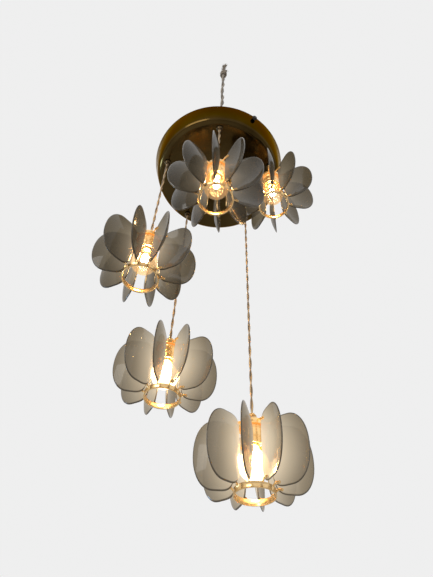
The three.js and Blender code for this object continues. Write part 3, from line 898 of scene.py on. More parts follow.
def make_hitch():
    """The loop through the eye, and the wraps that hold it."""
    loop_level = rim_level / MM + LOOP_ABOVE_RIM
    loop_line = [
        (0, LOOP_RADIUS * math.sin(angle), loop_level + LOOP_RADIUS * math.cos(angle))
        for angle in map(math.radians, range(0, 361, 10))
    ]
    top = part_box("rope_hitch")[1].z / MM
    bottom = top - HITCH_HEIGHT
    wraps_line = wrap_line(radius=8.3, low=bottom + 4, high=top - 5, turns=3.6)
    core_line = straight_line(0, 0, bottom + 2, top + 0.2, 10)
    whole = joined("hitch", [
        laid_rope("loop", loop_line, LOOP_ROPE, ROPE_YARN),
        laid_rope("wraps", wraps_line, WRAP_ROPE, ROPE_YARN),
        laid_rope("core", core_line, ROPE, ROPE_YARN),
    ])
    fibres = fibres_on(whole, density=30000.0, fibre_length=0.005, fibre_radius=0.0001, seed=8)
    return [
        rope_part("rope_hitch_wraps", whole, "rope_hitch"),
        rope_part("rope_hitch_fuzz", fibres),
    ]


def make_top_knot():
    """A knot of wraps round the rope's end, and its strands that come apart above it."""
    tail = [
        laid_rope("tail", tail_line(number, *strand), TAIL_ROPE, ROPE_YARN)
        for number, strand in enumerate(TAIL_STRANDS)
    ]
    wraps_line = wrap_line(radius=8.2, low=-14, high=13, turns=3.3)
    core_line = straight_line(0, 0, -17.9, 19, 10)
    whole = joined("knot", [
        laid_rope("wraps", wraps_line, WRAP_ROPE, ROPE_YARN),
        laid_rope("core", core_line, ROPE, ROPE_YARN),
        *tail,
    ])
    tips = joined("tips", tail)
    fibres = joined("fuzz", [
        fibres_on(whole, density=36000.0, fibre_length=0.006, fibre_radius=0.0001, seed=11),
        fibres_on(tips, density=160000.0, fibre_length=0.009, fibre_radius=0.0001, seed=12),
    ])
    return [
        rope_part("rope_knot_wraps", whole, "rope_top_knot"),
        rope_part("rope_knot_fuzz", fibres),
    ]


def make_rope():
    low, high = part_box("rope")
    path = [Vector(point) for point in wavy_line(low.z / MM, high.z / MM)]
    mesh = laid_rope("laid_rope", path, ROPE, ROPE_YARN)
    fibres = fibres_on(mesh, density=26000.0, fibre_length=0.0065, fibre_radius=0.00011, seed=5)
    rope = rope_part("laid_rope", mesh, "rope")
    extras = [rope_part("rope_fuzz", fibres), *make_hitch(), *make_top_knot()]


make_rope()


# Flexes

def make_flex(flower):
    """Two covered cores twisted together, from the cord grip down into the bell cap."""
    low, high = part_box(f"flex_{flower}")
    x = (low.x + high.x) / 2 / MM
    y = (low.y + high.y) / 2 / MM
    path = straight_line(x, y, high.z / MM, low.z / MM, 16)
    name = f"twisted_flex_{flower}"
    mesh = laid_rope(name, path, FLEX, FLEX_YARN)
    flex = add_piece(name, mesh, FLEX_YARN, f"pendant_{flower}", "flex_cover", f"flex_{flower}")


for flower in FLOWERS:
    make_flex(flower)


# Petals

# Shares of a petal's half width and half height at which its rows of points lie
PETAL_ROWS = [0.0, 0.12, 0.24, 0.36, 0.48, 0.60, 0.71, 0.81, 0.89, 0.94, 0.966, 0.984, 0.995, 1.0]
PETAL_ROUNDS_FROM = 0.966
PETAL_STEPS_AROUND = 52
CUT_EDGE_FROM = 0.955
CUT_EDGE_BLEND = 0.015
# How clear the plastic is far from the burner, what is added close to it, and from where to where
LEAST_CLEARNESS = 0.50
ADDED_CLEARNESS = 0.15
CLEAREST_WITHIN = 32
CLEARNESS_FADES_BY = 62
# How the painted glow, which stands in for the lamplight that the plastic scatters, falls off round
# the burner
BURNER_LEVEL = 3
BURNER_HEIGHT_COUNTS = 0.8
PAINTED_GLOW_FULL_WITHIN = 25
PAINTED_GLOW_FALL = 38
CUT_EDGE_DIMS_PAINTED_GLOW = 0.85


def fullness(across):
    return PETAL_INNER_FULLNESS if across < 0 else PETAL_OUTER_FULLNESS


def petal_share(across, up):
    """0 at a petal's middle and 1 at its outline."""
    full = fullness(across)
    return (abs(across) ** full + abs(up) ** full) ** (1 / full)


def petal_place(across, up, off):
    """A place off the middle surface of the petal at angle 0. across and up are shares of its
    half width and half height."""
    full = fullness(across)
    share = petal_share(across, up)
    steep = 2 * PETAL_DISH * max(share, 1e-6) ** (2 - full)
    slope_across = -steep * math.copysign(abs(across) ** (full - 1), across) / PETAL_HALF_WIDTH
    slope_up = -steep * math.copysign(abs(up) ** (full - 1), up) / PETAL_HALF_HEIGHT
    place = Vector((
        PETAL_MIDDLE + PETAL_HALF_WIDTH * across,
        PETAL_DISH * (1 - share * share),
        PETAL_HALF_HEIGHT * up,
    ))
    return place + Vector((-slope_across, 1, -slope_up)).normalized() * off


def outline_shares(number):
    """(across, up) of a point on a petal's outline."""
    angle = FULL_TURN * number / PETAL_STEPS_AROUND
    power = 2 / fullness(math.cos(angle))
    return [math.copysign(abs(way) ** power, way) for way in (math.cos(angle), math.sin(angle))]


def petal_mesh():
    """One petal at angle 0: an upright oval, dished towards +Y, with a rounded edge."""
    points = []
    rows = {-1: [], 1: []}
    for side in (-1, 1):
        for share in PETAL_ROWS:
            if share == 1 and side > 0:
                rows[side].append(rows[-1][-1])
                continue
            over = max(0.0, (share - PETAL_ROUNDS_FROM) / (1 - PETAL_ROUNDS_FROM))
            half = PETAL_HALF_THICKNESS * math.sqrt(max(0.0, 1 - over * over))
            row = []
            for number in range(1 if share == 0 else PETAL_STEPS_AROUND):
                across, up = outline_shares(number)
                row.append(len(points))
                points.append(petal_place(across * share, up * share, side * half))
            rows[side].append(row * PETAL_STEPS_AROUND if share == 0 else row)
    faces = [face[::-1] for face in skin(rows[-1])] + skin(rows[1])
    return mesh_of("petal", points, faces, 60)


def with_numbers(mesh, name, number_at):
    """The mesh, with a number kept at each point, which number_at works out from its place."""
    kept = mesh.attributes.new(name, "FLOAT", "POINT")
    kept.data.foreach_set("value", [number_at(point.co / MM) for point in mesh.vertices])
    return mesh


def cut_edge(point):
    """1 on a petal's rounded edge and 0 on its faces."""
    across = (point.x - PETAL_MIDDLE) / PETAL_HALF_WIDTH
    share = petal_share(across, point.z / PETAL_HALF_HEIGHT)
    return min(1.0, max(0.0, (share - CUT_EDGE_FROM) / CUT_EDGE_BLEND))


def burner_distance(point):
    """How far off the burner is. Its height counts for less, because it is long."""
    return math.hypot(point.x, BURNER_HEIGHT_COUNTS * (point.z - BURNER_LEVEL))


def clearness(point):
    """How much is seen through the plastic: most near the bulb, nothing at the cut edge."""
    fade = CLEARNESS_FADES_BY - CLEAREST_WITHIN
    nearness = min(1.0, max(0.0, (CLEARNESS_FADES_BY - burner_distance(point)) / fade))
    return (LEAST_CLEARNESS + ADDED_CLEARNESS * nearness) * (1 - cut_edge(point))


def painted_petal_glow(point):
    """A painted glow that stands in for the lamplight the plastic scatters: most near the bulb,
    little at the cut edge.
    """
    painted_haze = math.exp((PAINTED_GLOW_FULL_WITHIN - burner_distance(point)) / PAINTED_GLOW_FALL)
    return painted_haze * (1 - CUT_EDGE_DIMS_PAINTED_GLOW * cut_edge(point))


def petal_inner_edge(height):
    """The radius at which a petal's inner edge lies, at a height from the flower's middle."""
    share = abs(height) / PETAL_HALF_HEIGHT
    reach = (1 - share ** PETAL_INNER_FULLNESS) ** (1 / PETAL_INNER_FULLNESS)
    return PETAL_MIDDLE - PETAL_HALF_WIDTH * reach


def behind_petal(radius, height, off):
    """A place off the back of a petal, or in line with its edge where the petal has ended."""
    across = (radius - PETAL_MIDDLE) / PETAL_HALF_WIDTH
    up = height / PETAL_HALF_HEIGHT
    if petal_share(across, up) >= 1:
        return Vector((radius, -off, height))
    return petal_place(across, up, -off)


# Rings, their arms and screws

RING_RADIUS = 29.5
RING_BOTTOM = -58
RING_TOP = -49
GALLERY_RADIUS = 22
GALLERY_TOP = 51
GALLERY_SKIRT = 42
GALLERY_BORE = 5.4
GALLERY_PLATE = 2
ARM_HEIGHT = 4
ARM_RISE = 4.5
ARM_LAP = 7
ARM_THICKNESS = 1.6
LOWER_ARM_MIDDLE = RING_TOP - ARM_HEIGHT / 2
UPPER_ARM_MIDDLE = GALLERY_TOP - 1.5 - ARM_HEIGHT / 2
LOWER_ARM_GAP = 0
UPPER_ARM_GAP = 0.3
SCREW_PLACES = (1.9, 5.2)
SCREW_SEAT = 0.1


def screw_head():
    """A small pan head with a slot, which points along -Y."""
    head = turned("head", rounded([
        (0, 1.3), (1.1, 1.15, 0.4), (1.75, 0.5, 0.3), (1.75, 0.0), (0, 0),
    ], steps=3), sides=16)
    slot = moved(plate("slot", 1.5, 0.22, 0.25, edge=0.05), shift(z=1.32))
    return moved(joined("head", [head, slot]), turn(90, "X"))


def arm_mesh(start, middle, rise, gap):
    """A flat arm from a ring to a petal. It rises as it goes out, and its end lies along the
    petal's back, with a gap between them."""
    near = PETAL_HALF_THICKNESS + gap
    far = near + ARM_THICKNESS
    edge = petal_inner_edge(middle + rise)
    radii = [start + (edge - 1 - start) * i / 4 for i in range(4)]
    radii += [edge - 1 + (ARM_LAP + 1) * i / 6 for i in range(7)]
    points = []
    rows = []
    for radius in radii:
        here = middle + rise * min(1, (radius - start) / (edge - start))
        low = here - ARM_HEIGHT / 2
        high = here + ARM_HEIGHT / 2
        narrowing = 0.3 if radius == radii[-1] else 0.0
        rows.append([len(points) + k for k in (0, 1, 2, 3, 7, 6, 5, 4)])
        for on_far_side in (False, True):
            for i, level in enumerate((low, low + 0.4, high - 0.4, high)):
                inset = 0.35 if i in (0, 3) else 0.0
                off = far - inset if on_far_side else near + inset
                points.append(behind_petal(radius, level - narrowing * (i - 1.5), off))
    return mesh_of("arm", points, [rows[0], rows[-1][::-1], *skin(rows)], 40)


def lower_ring_mesh():
    """A gilt band with rolled edges, round the way in to the bulb, and an arm to each petal."""
    rolled_foot = [
        (-1.6, 0.9), (-1.5, 0.3), (-0.9, 0), (0.1, 0.05), (0.6, 0.6), (0.5, 1.3), (-0.1, 1.7),
    ]
    rolled_top = [(-0.2, -1.6), (0.2, -1.1), (0.2, -0.3), (-0.4, 0), (-1.2, 0), (-1.6, -0.4)]
    outline = [(RING_RADIUS + out, RING_BOTTOM + up) for out, up in rolled_foot]
    outline += [(RING_RADIUS + out, RING_TOP + up) for out, up in rolled_top]
    band = turned("band", [*outline, outline[0]], 96, 50)
    arm = arm_mesh(RING_RADIUS - 1, LOWER_ARM_MIDDLE, ARM_RISE, LOWER_ARM_GAP)
    return joined("lower_ring", [band, around_axis(arm, GILT)])


def upper_ring_mesh():
    """A plate with a skirt over the bulb, and an arm to each petal."""
    plate_foot = GALLERY_TOP - GALLERY_PLATE
    band = turned("band", rounded([
        (GALLERY_BORE, plate_foot), (GALLERY_RADIUS - 1.6, plate_foot, 1),
        (GALLERY_RADIUS - 1.6, GALLERY_SKIRT), (GALLERY_RADIUS + 0.3, GALLERY_SKIRT, 0.5),
        (GALLERY_RADIUS + 0.3, GALLERY_SKIRT + 1.4, 0.5),
        (GALLERY_RADIUS - 0.1, GALLERY_SKIRT + 1.8),
        (GALLERY_RADIUS - 0.1, GALLERY_TOP - 1.2, 0.5), (GALLERY_RADIUS - 1.4, GALLERY_TOP, 0.8),
        (GALLERY_BORE, GALLERY_TOP), (GALLERY_BORE, plate_foot),
    ]), sides=96, sharp=50)
    arm = arm_mesh(GALLERY_RADIUS - 1, UPPER_ARM_MIDDLE, -ARM_RISE, UPPER_ARM_GAP)
    return joined("upper_ring", [band, around_axis(arm, GILT)])


def screws_mesh():
    """Two small screws through each arm and its petal, at the lower ring and at the upper ring."""
    head = screw_head()
    heads = []
    for level, gap in (
        (LOWER_ARM_MIDDLE + ARM_RISE, LOWER_ARM_GAP),
        (UPPER_ARM_MIDDLE - ARM_RISE, UPPER_ARM_GAP),
    ):
        for beyond_edge in SCREW_PLACES:
            radius = petal_inner_edge(level) + beyond_edge
            off = PETAL_HALF_THICKNESS + ARM_THICKNESS + (gap + SCREW_SEAT)
            place = behind_petal(radius, level, off)
            outward = place - behind_petal(radius, level, 0)
            facing = Vector((0, -1, 0)).rotation_difference(outward).to_matrix().to_4x4()
            heads.append(moved(head, facing, shift(*place)))
    return around_axis(joined("screws", heads), GILT)


# Cap, lamp holder and bulb

SLEEVE_TOP = GALLERY_TOP - 2.3
SLEEVE_BOTTOM = SLEEVE_TOP - 36
SOCKET_TOP = SLEEVE_TOP - 1.7
SOCKET_BOTTOM = SOCKET_TOP - 29
COLLAR_BOTTOM = SOCKET_BOTTOM - 4.3
BULB_NECK_TOP = COLLAR_BOTTOM - 0.3
BULB_MIDDLE = BULB_NECK_TOP - 27
BULB_RADIUS = 22.5
BULB_WALL = 0.8
BURNER_MIDDLE = BULB_MIDDLE + 9
BURNER_HALF_HEIGHT = 12
BURNER_RADIUS = 6


def bell_cap_mesh():
    """The bell that the flex goes into, and the nipple that carries the gallery and the holder."""
    foot = GALLERY_TOP + 0.3
    nipple_end = SLEEVE_TOP - 1.4
    return turned("bell_cap", rounded([
        (0, nipple_end), (5, nipple_end), (5, foot), (15, foot, 0.4), (15, foot + 1.2, 0.5),
        (14.2, foot + 1.7), (14.2, foot + 3.0, 0.8), (12.9, foot + 5.6, 2), (9.6, foot + 8.4, 2),
        (7.0, foot + 11.2, 2), (6.2, foot + 12.6, 0.3), (6.9, foot + 13.2, 0.4),
        (6.9, foot + 14.4, 0.4), (5.9, foot + 15.0, 0.3), (5.2, foot + 15.6, 0.4),
        (4.4, foot + 18, 0.6), (0, foot + 18),
    ]), sides=72, sharp=50)


def lamp_sleeve_mesh():
    """A gilt tube with a rolled lip, and two pairs of grooves round it."""
    top = SLEEVE_TOP
    foot = SLEEVE_BOTTOM
    grooves = []
    for level in (foot + 9, foot + 11.5, top - 11.5, top - 9):
        grooves += [(18.5, level - 0.7, 0.2), (17.9, level, 0.4), (18.5, level + 0.7, 0.2)]
    return turned("lamp_sleeve", rounded([
        (5.4, top - 1.4), (17.1, top - 1.4, 0.6), (17.1, foot + 0.4, 0.3), (17.7, foot, 0.3),
        (18.8, foot + 0.2, 0.5), (18.9, foot + 1.6, 0.5), (18.5, foot + 2.2, 0.3), *grooves,
        (18.5, top - 1.6, 1), (17.1, top, 0.6), (5.4, top), (5.4, top - 1.4),
    ]), sides=80, sharp=50)


def lamp_socket_mesh():
    """A porcelain cup whose bore the bulb's base goes up into."""
    top = SOCKET_TOP
    foot = SOCKET_BOTTOM
    return turned("lamp_socket", rounded([
        (0, top - 4), (7.4, top - 4, 0.5), (7.4, foot + 0.6, 0.5), (8.2, foot, 0.4),
        (12.4, foot, 0.6), (13, foot + 0.8, 0.6), (13, foot + 8, 0.4), (12.2, foot + 8.8, 0.4),
        (12.2, foot + 11, 0.4), (13, foot + 11.8, 0.4), (13, top - 0.6, 0.6), (12.4, top, 0.4),
        (0, top),
    ]), sides=56, sharp=50)


def bulb_base_mesh():
    """The screw base: a rolled thread, a collar against the glass, and a contact at the tip."""
    foot = COLLAR_BOTTOM
    collar = turned("collar", rounded([
        (0, foot), (9.2, foot, 0.5), (9.5, foot + 0.9, 0.5), (9.3, foot + 2.7, 0.5),
        (7.2, foot + 3.9, 0.6), (6.6, foot + 4.5), (0, foot + 4.5),
    ]), sides=48, sharp=50)
    tip = turned("tip", rounded([
        (0, foot + 24.8), (6.2, foot + 24.8, 0.6), (5.4, foot + 26.5, 0.8), (3.4, foot + 27.9, 0.4),
        (2.2, foot + 28.0, 0.3), (2.2, foot + 28.7, 0.5), (0, foot + 29),
    ]), sides=32, sharp=50)
    thread = threaded_rod(radius=6.55, depth=0.4, pitch=2.9, low=foot + 4.3, high=foot + 24.6)
    return joined("bulb_base", [collar, tip, thread])


def bulb_glass_mesh():
    """A round glass whose neck runs smoothly up into the collar. It is one thin closed wall."""
    globe = arc(0, BULB_MIDDLE, BULB_RADIUS, math.radians(-90), math.radians(45), 27)
    neck = [
        (radius, BULB_NECK_TOP - below)
        for radius, below in (
            (14.3, 9.5), (12.6, 7.6), (11.0, 5.6), (9.7, 3.8), (8.8, 2.0), (8.5, 0.8), (8.4, 0))
    ]
    inside = [
        (max(0.0, radius - BULB_WALL * 0.9), height + (BULB_WALL if height < BULB_MIDDLE else 0))
        for radius, height in globe + neck
    ]
    lowest = BULB_MIDDLE - BULB_RADIUS
    outline = [(0.0, lowest), *globe[1:], *neck, *inside[:0:-1], (0.0, lowest + BULB_WALL)]
    return turned("bulb_glass", outline, sides=64, sharp=60)


def core_mesh():
    """The glowing burner: a rounded rod on the bulb's axis."""
    side = [
        (BURNER_RADIUS * math.cos(angle), BURNER_MIDDLE + BURNER_HALF_HEIGHT * math.sin(angle))
        for angle in map(math.radians, range(-80, 81, 10))
    ]
    foot = (0.0, BURNER_MIDDLE - BURNER_HALF_HEIGHT)
    top = (0.0, BURNER_MIDDLE + BURNER_HALF_HEIGHT)
    return turned("core", [foot, *side, top], sides=32, sharp=60)


def set_painted_and_globe_glow(mesh, petal_painted_glow, petal_painted_glow_fall, globe_strength):
    """Set how strongly a mesh glows and how fast that falls off, where it keeps such a number: the
    painted glow on petals, and the globe's own glow.
    """
    for name, strength, fall in (
        ("lamp_glow", petal_painted_glow, petal_painted_glow_fall),
        ("globe_glow", globe_strength, 1),
    ):
        glow = mesh.attributes.get(name)
        if glow:
            numbers = np.zeros(len(mesh.vertices), dtype=np.float32)
            glow.data.foreach_get("value", numbers)
            glow.data.foreach_set("value", strength * numbers ** fall)


# Everything in a flower, about its own middle: name, mesh, finish, slot and the node it stands for
petal_with_painted_glow = with_numbers(petal_mesh(), "clearness", clearness)
# The petals get a painted glow of lamplight, strongest near the bulb
petal_with_painted_glow = with_numbers(petal_with_painted_glow, "lamp_glow", painted_petal_glow)
lit_globe = with_numbers(bulb_glass_mesh(), "globe_glow", lambda point: 1.0)
FLOWER_PARTS = [
    ("smoked_petals", around_axis(petal_with_painted_glow, SMOKED), SMOKED, "smoke_acrylic", "petal_crown"),
    ("lower_ring", lower_ring_mesh(), GILT, "gilt_metal", "petal_crown"),
    ("petal_screws", screws_mesh(), GILT, "gilt_metal", None),
    ("upper_ring", upper_ring_mesh(), GILT_WITH_PAINTED_GLOW, "gilt_metal", "petal_gallery"),
    ("flex_cap", bell_cap_mesh(), GILT, "gilt_metal", "bell_cap"),
    ("lamp_sleeve", lamp_sleeve_mesh(), GILT_WITH_PAINTED_GLOW, "gilt_metal", "holder_sleeve"),
    ("socket_ring", lamp_socket_mesh(), PORCELAIN, "porcelain", "lamp_socket"),
    ("screw_base", bulb_base_mesh(), BRASS, "steel", "bulb_base"),
    ("bulb_globe", lit_globe, BULB_GLASS, "opal_glass", "bulb_glass"),
    ("bulb_burner", core_mesh(), CORE, "opal_glass", None),
]

for flower in FLOWERS:
    middle = Matrix.Translation(joint_places[f"turn_{flower}"])
    facing = turn(PETAL_TURNS[flower])
    for name, mesh, finish, slot, node in FLOWER_PARTS:
        nodes = [f"{node}_{flower}"] if node else []
        placed = moved(mesh, facing, middle)
        set_painted_and_globe_glow(placed, *PAINTED_PETAL_GLOW_AND_GLOBE_GLOW[flower])
        add_piece(f"{name}_{flower}", placed, finish, f"flower_{flower}", slot, *nodes)


# Canopy and what is in it. Heights are from its rim.

CANOPY_RADIUS = 150
CANOPY_HEIGHT = 50
CANOPY_TAPER = math.radians(13.5)
CANOPY_CORNER = 14
CANOPY_WALL = 1.5
FLAT_RADII = (0, 30, 60, 90, 115)
BAR_ANGLE = -60
BAR_END = 142.6
BAR_HALF_WIDTH = 12.5
BAR_THICKNESS = 2.5
BAR_BEND = 3.5
BAR_EDGE = 0.35
BAR_TAB_DEPTH = 19
BAR_SCREW_SPACING = 110
BAR_SCREW_HOLE = 2.5
EYE_BOLT_HOLE = 3.4
SIDE_SCREW_HOLE = 2.4
SIDE_SCREW_DROP = 10
SIDE_SCREW_SEAT = 149.1
BOX_RADIUS = 21.8
BOX_TOP = -8.1
BOX_BOTTOM = -27.1
PORT_LEVEL = -17.6
PORT_RADIUS = 2.4
EYE_LEVEL = 20.3
EYE_RADIUS = 13.5
LEAD_FOOT = -59
LEAD_BEND = 22
LEAD_END = 15.1


def lead_angle(flower):
    """The angle in degrees at which a flex goes through the canopy."""
    place = joint_places[f"swing_{flower}"]
    return math.degrees(math.atan2(place.y, place.x))


def canopy_mesh():
    """The spun pan, with its rim rounded over."""
    slope = math.cos(CANOPY_TAPER)
    corner_level = CANOPY_CORNER - CANOPY_HEIGHT
    lean = (CANOPY_HEIGHT - CANOPY_CORNER) * math.sin(CANOPY_TAPER)
    flat_edge = CANOPY_RADIUS - (lean + CANOPY_CORNER) / slope
    inner_rim = CANOPY_RADIUS - CANOPY_WALL / slope
    half = (CANOPY_RADIUS - inner_rim) / 2
    inner_corner = CANOPY_CORNER - CANOPY_WALL
    return turned("spun_canopy", [
        *[(radius, -CANOPY_HEIGHT) for radius in FLAT_RADII],
        *arc(flat_edge, corner_level, CANOPY_CORNER, -math.pi / 2, -CANOPY_TAPER, 12),
        *arc(CANOPY_RADIUS - half, -half, half, 0, math.pi, 8),
        *arc(flat_edge, corner_level, inner_corner, -CANOPY_TAPER, -math.pi / 2, 10),
        *[(radius, CANOPY_WALL - CANOPY_HEIGHT) for radius in FLAT_RADII[::-1]],
    ], sides=192, sharp=40)


def cord_grip_mesh():
    """A flanged bush under the canopy with a milled edge, its nipple, and the nut inside."""
    foot = -CANOPY_HEIGHT
    bush = turned("bush", rounded([
        (2.5, foot - 9), (3.6, foot - 9, 0.5), (4.3, foot - 8.4, 0.4), (5.0, foot - 5.6, 0.8),
        (6.2, foot - 4.3, 0.4), (7, foot - 4.0, 0.4), (7, foot - 0.6, 0.3), (6.6, foot - 0.3),
        (5, foot - 0.3), (5, foot + 8.6, 0.4), (2.5, foot + 8.6), (2.5, foot - 9),
    ]), sides=48, sharp=50)
    tooth = moved(plate("tooth", 0.3, 0.25, 1.2, edge=0.1), shift(7.0, 0, foot - 2.3))
    nut = moved(hex_nut(radius=7.5, height=4.5, bore=5.0), shift(z=foot + CANOPY_WALL + 0.3))
    return joined("cord_grip", [bush, around_axis(tooth, DARK_BRONZE, count=36), nut])


def mounting_bar_mesh():
    """A flat strip bent down at both ends, with its corners eased and its holes drilled."""
    quarter = math.pi / 2
    bend_middle = BAR_END - BAR_BEND
    half = [
        *arc(bend_middle, -BAR_BEND, BAR_BEND, quarter, 0, 6),
        (BAR_END, -BAR_TAB_DEPTH),
        (BAR_END - BAR_THICKNESS, -BAR_TAB_DEPTH),
        *arc(bend_middle, -BAR_BEND, BAR_BEND - BAR_THICKNESS, 0, quarter, 6),
    ]
    outline = [(-x, z) for x, z in half[::-1]] + half
    count = len(outline)
    across_to_inset = [
        (-BAR_HALF_WIDTH, BAR_EDGE), (-BAR_HALF_WIDTH + BAR_EDGE, 0),
        (BAR_HALF_WIDTH - BAR_EDGE, 0), (BAR_HALF_WIDTH, BAR_EDGE),
    ]
    points = []
    for y, inset in across_to_inset:
        for i, (x, z) in enumerate(outline):
            along = (Vector(outline[(i + 1) % count]) - Vector(outline[i - 1])).normalized()
            points.append((x + inset * along.y, y, z - inset * along.x))
    rows = numbered_rows(len(across_to_inset), count)
    strip = mesh_of("strip", points, [rows[0], rows[-1][::-1], *skin(rows)], 40)
    screw_hole = rod_mesh(BAR_SCREW_HOLE, -BAR_THICKNESS - 1, 1)
    cross_hole = rod_mesh(SIDE_SCREW_HOLE, -CANOPY_RADIUS, CANOPY_RADIUS)
    drilled = pierced(strip, [
        rod_mesh(EYE_BOLT_HOLE, -BAR_THICKNESS - 1, 1),
        moved(screw_hole, shift(-BAR_SCREW_SPACING / 2)),
        moved(screw_hole, shift(BAR_SCREW_SPACING / 2)),
        moved(cross_hole, turn(90, "Y"), shift(z=-SIDE_SCREW_DROP)),
    ])
    return moved(drilled, turn(BAR_ANGLE))


def side_screw_mesh(angle):
    """A thumb screw with a milled head, through the canopy's side into the bar's bent end."""
    seat = SIDE_SCREW_SEAT
    head = turned("head", rounded([
        (0, seat), (4.6, seat, 0.3), (4.75, seat + 0.5, 0.3), (4.75, seat + 4.6, 0.6),
        (3.6, seat + 5.8, 0.6), (2.6, seat + 5.8, 0.3), (2.2, seat + 5.3, 0.3), (0, seat + 5.3),
    ]), sides=48, sharp=40)
    tooth = moved(plate("tooth", 0.28, 0.22, 1.9, edge=0.1), shift(4.72, 0, seat + 2.6))
    thread = threaded_rod(
        radius=1.88, depth=0.12, pitch=0.9, low=BAR_END - BAR_THICKNESS - 5, high=seat + 0.4,
        sides=16, steps=8)
    whole = joined("side_screw", [head, around_axis(tooth, BLACK, count=30), thread])
    return moved(whole, turn(90, "Y"), shift(z=-SIDE_SCREW_DROP), turn(angle))


def eye_bolt_mesh():
    """A forged eye on a shoulder, with a threaded shank and its nut under the bar."""
    eye = moved(ring_tube(EYE_RADIUS, wire=2.5, around=72, sides=20), shift(z=EYE_LEVEL))
    shoulder = turned("shoulder", rounded([
        (0, 0.3), (6.1, 0.3, 0.3), (6.5, 0.8, 0.3), (6.5, 3.4, 0.5), (5.6, 4.3, 0.6),
        (3.6, 5.2, 1.2), (3.0, 7.6, 0.6), (0, 7.8),
    ]), sides=48, sharp=40)
    shank = threaded_rod(
        radius=2.82, depth=0.18, pitch=1.0, low=-11.8, high=0.6, sides=24, steps=8)
    nut = moved(hex_nut(radius=6.4, height=5.0, bore=2.4), shift(z=-7.8))
    return joined("eye_bolt", [eye, shoulder, shank, nut])


def junction_box_mesh():
    """A round moulded box whose lid laps over it, with a port for each lead and two lid screws."""
    body = turned("box", rounded([
        (0, BOX_BOTTOM), (20.4, BOX_BOTTOM, 1.6), (BOX_RADIUS, BOX_BOTTOM + 2.2, 1.2),
        (BOX_RADIUS, BOX_TOP - 4.2), (21.2, BOX_TOP - 4.2), (21.2, BOX_TOP - 3.8),
        (23, BOX_TOP - 3.8, 0.4), (23, BOX_TOP - 1.4, 0.8), (21.6, BOX_TOP, 0.8),
        (3.6, BOX_TOP, 0.3), (3.4, BOX_TOP - 0.4), (3.4, BOX_TOP - 4.3), (0, BOX_TOP - 4.3),
    ]), sides=96, sharp=40)
    port = moved(rod_mesh(PORT_RADIUS, low=14.8, high=24), turn(90, "Y"), shift(z=PORT_LEVEL))
    collar = ring_tube(radius=3.0, wire=0.5, around=32, sides=10)
    collar = moved(collar, turn(90), shift(BOX_RADIUS + 0.1, 0, PORT_LEVEL))
    turns = [turn(lead_angle(flower)) for flower in FLOWERS]
    rib = moved(plate("rib", 0.5, 0.5, 4.0, edge=0.2), shift(BOX_RADIUS, 0, BOX_BOTTOM + 6.6))
    lid_screw = moved(screw_head(), turn(-90, "X"), shift(17.5, 0, BOX_TOP))
    return joined("junction_box", [
        pierced(body, [moved(port, facing) for facing in turns]),
        *[moved(collar, facing) for facing in turns],
        around_axis(rib, BLACK, count=30, first=6),
        *[moved(lid_screw, turn(BAR_ANGLE + side)) for side in (90, 270)],
    ])


def inner_lead_mesh(flower):
    """The flex's end inside the canopy: up out of the grip, over in one bend, and to its port."""
    place = joint_places[f"swing_{flower}"]
    radius = math.hypot(place.x, place.y) / MM
    bend_foot = PORT_LEVEL - LEAD_BEND
    bend_end = radius - LEAD_BEND
    line = [(radius, 0, LEAD_FOOT + (bend_foot - LEAD_FOOT) * i / 4) for i in range(4)]
    line += bend(
        Vector((radius, 0, bend_foot)), Vector((radius, 0, PORT_LEVEL)),
        Vector((bend_end, 0, PORT_LEVEL)), 12)
    line += [(bend_end - (bend_end - LEAD_END) * i / 12, 0, PORT_LEVEL) for i in range(1, 13)]
    lead = laid_rope(f"bent_lead_{flower}", line, INNER_LEAD, FLEX_YARN)
    return moved(lead, turn(lead_angle(flower)))


def add_to_canopy(name, mesh, finish, slot, node):
    """A piece fixed to the canopy, from a mesh whose heights are from the rim."""
    add_piece(name, moved(mesh, at_rim), finish, "root", slot, node)


add_to_canopy("spun_canopy", canopy_mesh(), MIRROR, "dark_chrome", "canopy_pan")
grip_form = cord_grip_mesh()
for flower in FLOWERS:
    place = joint_places[f"swing_{flower}"]
    grip = moved(grip_form, Matrix.Translation((place.x, place.y, 0)))
    add_to_canopy(f"flanged_grip_{flower}", grip, DARK_BRONZE, "dark_chrome", f"cord_grip_{flower}")
add_to_canopy("bent_bar", mounting_bar_mesh(), ZINC, "steel", "mounting_bar")
for side, angle in (("front", BAR_ANGLE), ("back", BAR_ANGLE + 180)):
    screw = side_screw_mesh(angle)
    add_to_canopy(f"thumb_screw_{side}", screw, BLACK, "black_plastic", f"side_screw_{side}")
add_to_canopy("forged_eye", eye_bolt_mesh(), ZINC, "steel", "eye_bolt")
add_to_canopy("lidded_box", junction_box_mesh(), BLACK, "black_plastic", "junction_box")
for flower in FLOWERS:
    lead = inner_lead_mesh(flower)
    add_to_canopy(f"bent_lead_{flower}", lead, FLEX_YARN, "flex_cover", f"inner_lead_{flower}")


# Floor, light and background

FLOOR_HALF = 9000
FLOOR_LEVEL = -2.2
LIT_POINT = Vector((0, 0, -1.05))


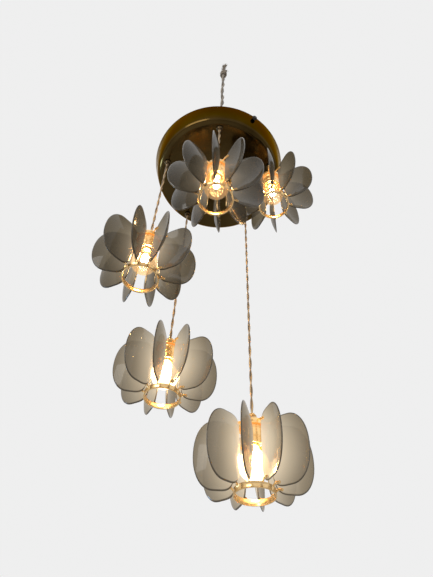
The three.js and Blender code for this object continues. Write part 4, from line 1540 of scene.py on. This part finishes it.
def make_floor():
    mesh = mesh_of("pale_floor", [
        (-FLOOR_HALF, -FLOOR_HALF, 0), (FLOOR_HALF, -FLOOR_HALF, 0),
        (FLOOR_HALF, FLOOR_HALF, 0), (-FLOOR_HALF, FLOOR_HALF, 0),
    ], [(0, 1, 2, 3)])
    mesh.transform(Matrix.Translation((0, 0, FLOOR_LEVEL)))
    material, graph = new_finish("pale_floor")
    cloud = mottle(graph, object_place(graph), 3)
    opaque_surface(graph, {
        "Base Color": tint(graph, cloud, (0.78, 0.78, 0.77), (0.82, 0.82, 0.81)),
        "Roughness": 0.7,
    })
    mesh.materials.append(material)
    new_object("pale_floor", mesh)


def area_lamp(name, place, size, power, colour):
    data = bpy.data.lights.new(name, "AREA")
    data.shape = "RECTANGLE"
    data.size, data.size_y = size
    data.energy = power
    data.color = colour
    lamp = new_object(name, data)
    lamp.location = place
    lamp.rotation_mode = "QUATERNION"
    lamp.rotation_quaternion = (LIT_POINT - Vector(place)).to_track_quat("-Z", "Y")


def make_world():
    """Even light on the object, and a pale wall to the eye and in reflections."""
    world = bpy.data.worlds.new("studio")
    scene.world = world
    world.use_nodes = True
    world.node_tree.nodes.clear()
    graph = Graph(world.node_tree)
    path = graph.add("ShaderNodeLightPath").outputs
    seen = graph.math("MAXIMUM", path["Is Camera Ray"], path["Is Glossy Ray"])
    seen = graph.math("MAXIMUM", seen, path["Is Transmission Ray"])
    light = graph.add("ShaderNodeBackground", {"Color": (0.97, 0.98, 1.0, 1), "Strength": 0.55})
    wall = graph.add("ShaderNodeBackground", {"Color": (0.862, 0.862, 0.862, 1), "Strength": 1.0})
    mixed = graph.add("ShaderNodeMixShader", {0: seen, 1: light.outputs[0], 2: wall.outputs[0]})
    graph.add("ShaderNodeOutputWorld", {"Surface": mixed.outputs[0]})


make_floor()
make_world()
area_lamp("soft_front", (-1.6, -2.6, -0.15), (1.6, 1.6), 34, (1.0, 0.98, 0.95))
area_lamp("soft_window", (-2.6, 0.6, -1.65), (0.35, 0.8), 20, (0.42, 0.66, 1.0))
scene.view_settings.view_transform = "Standard"
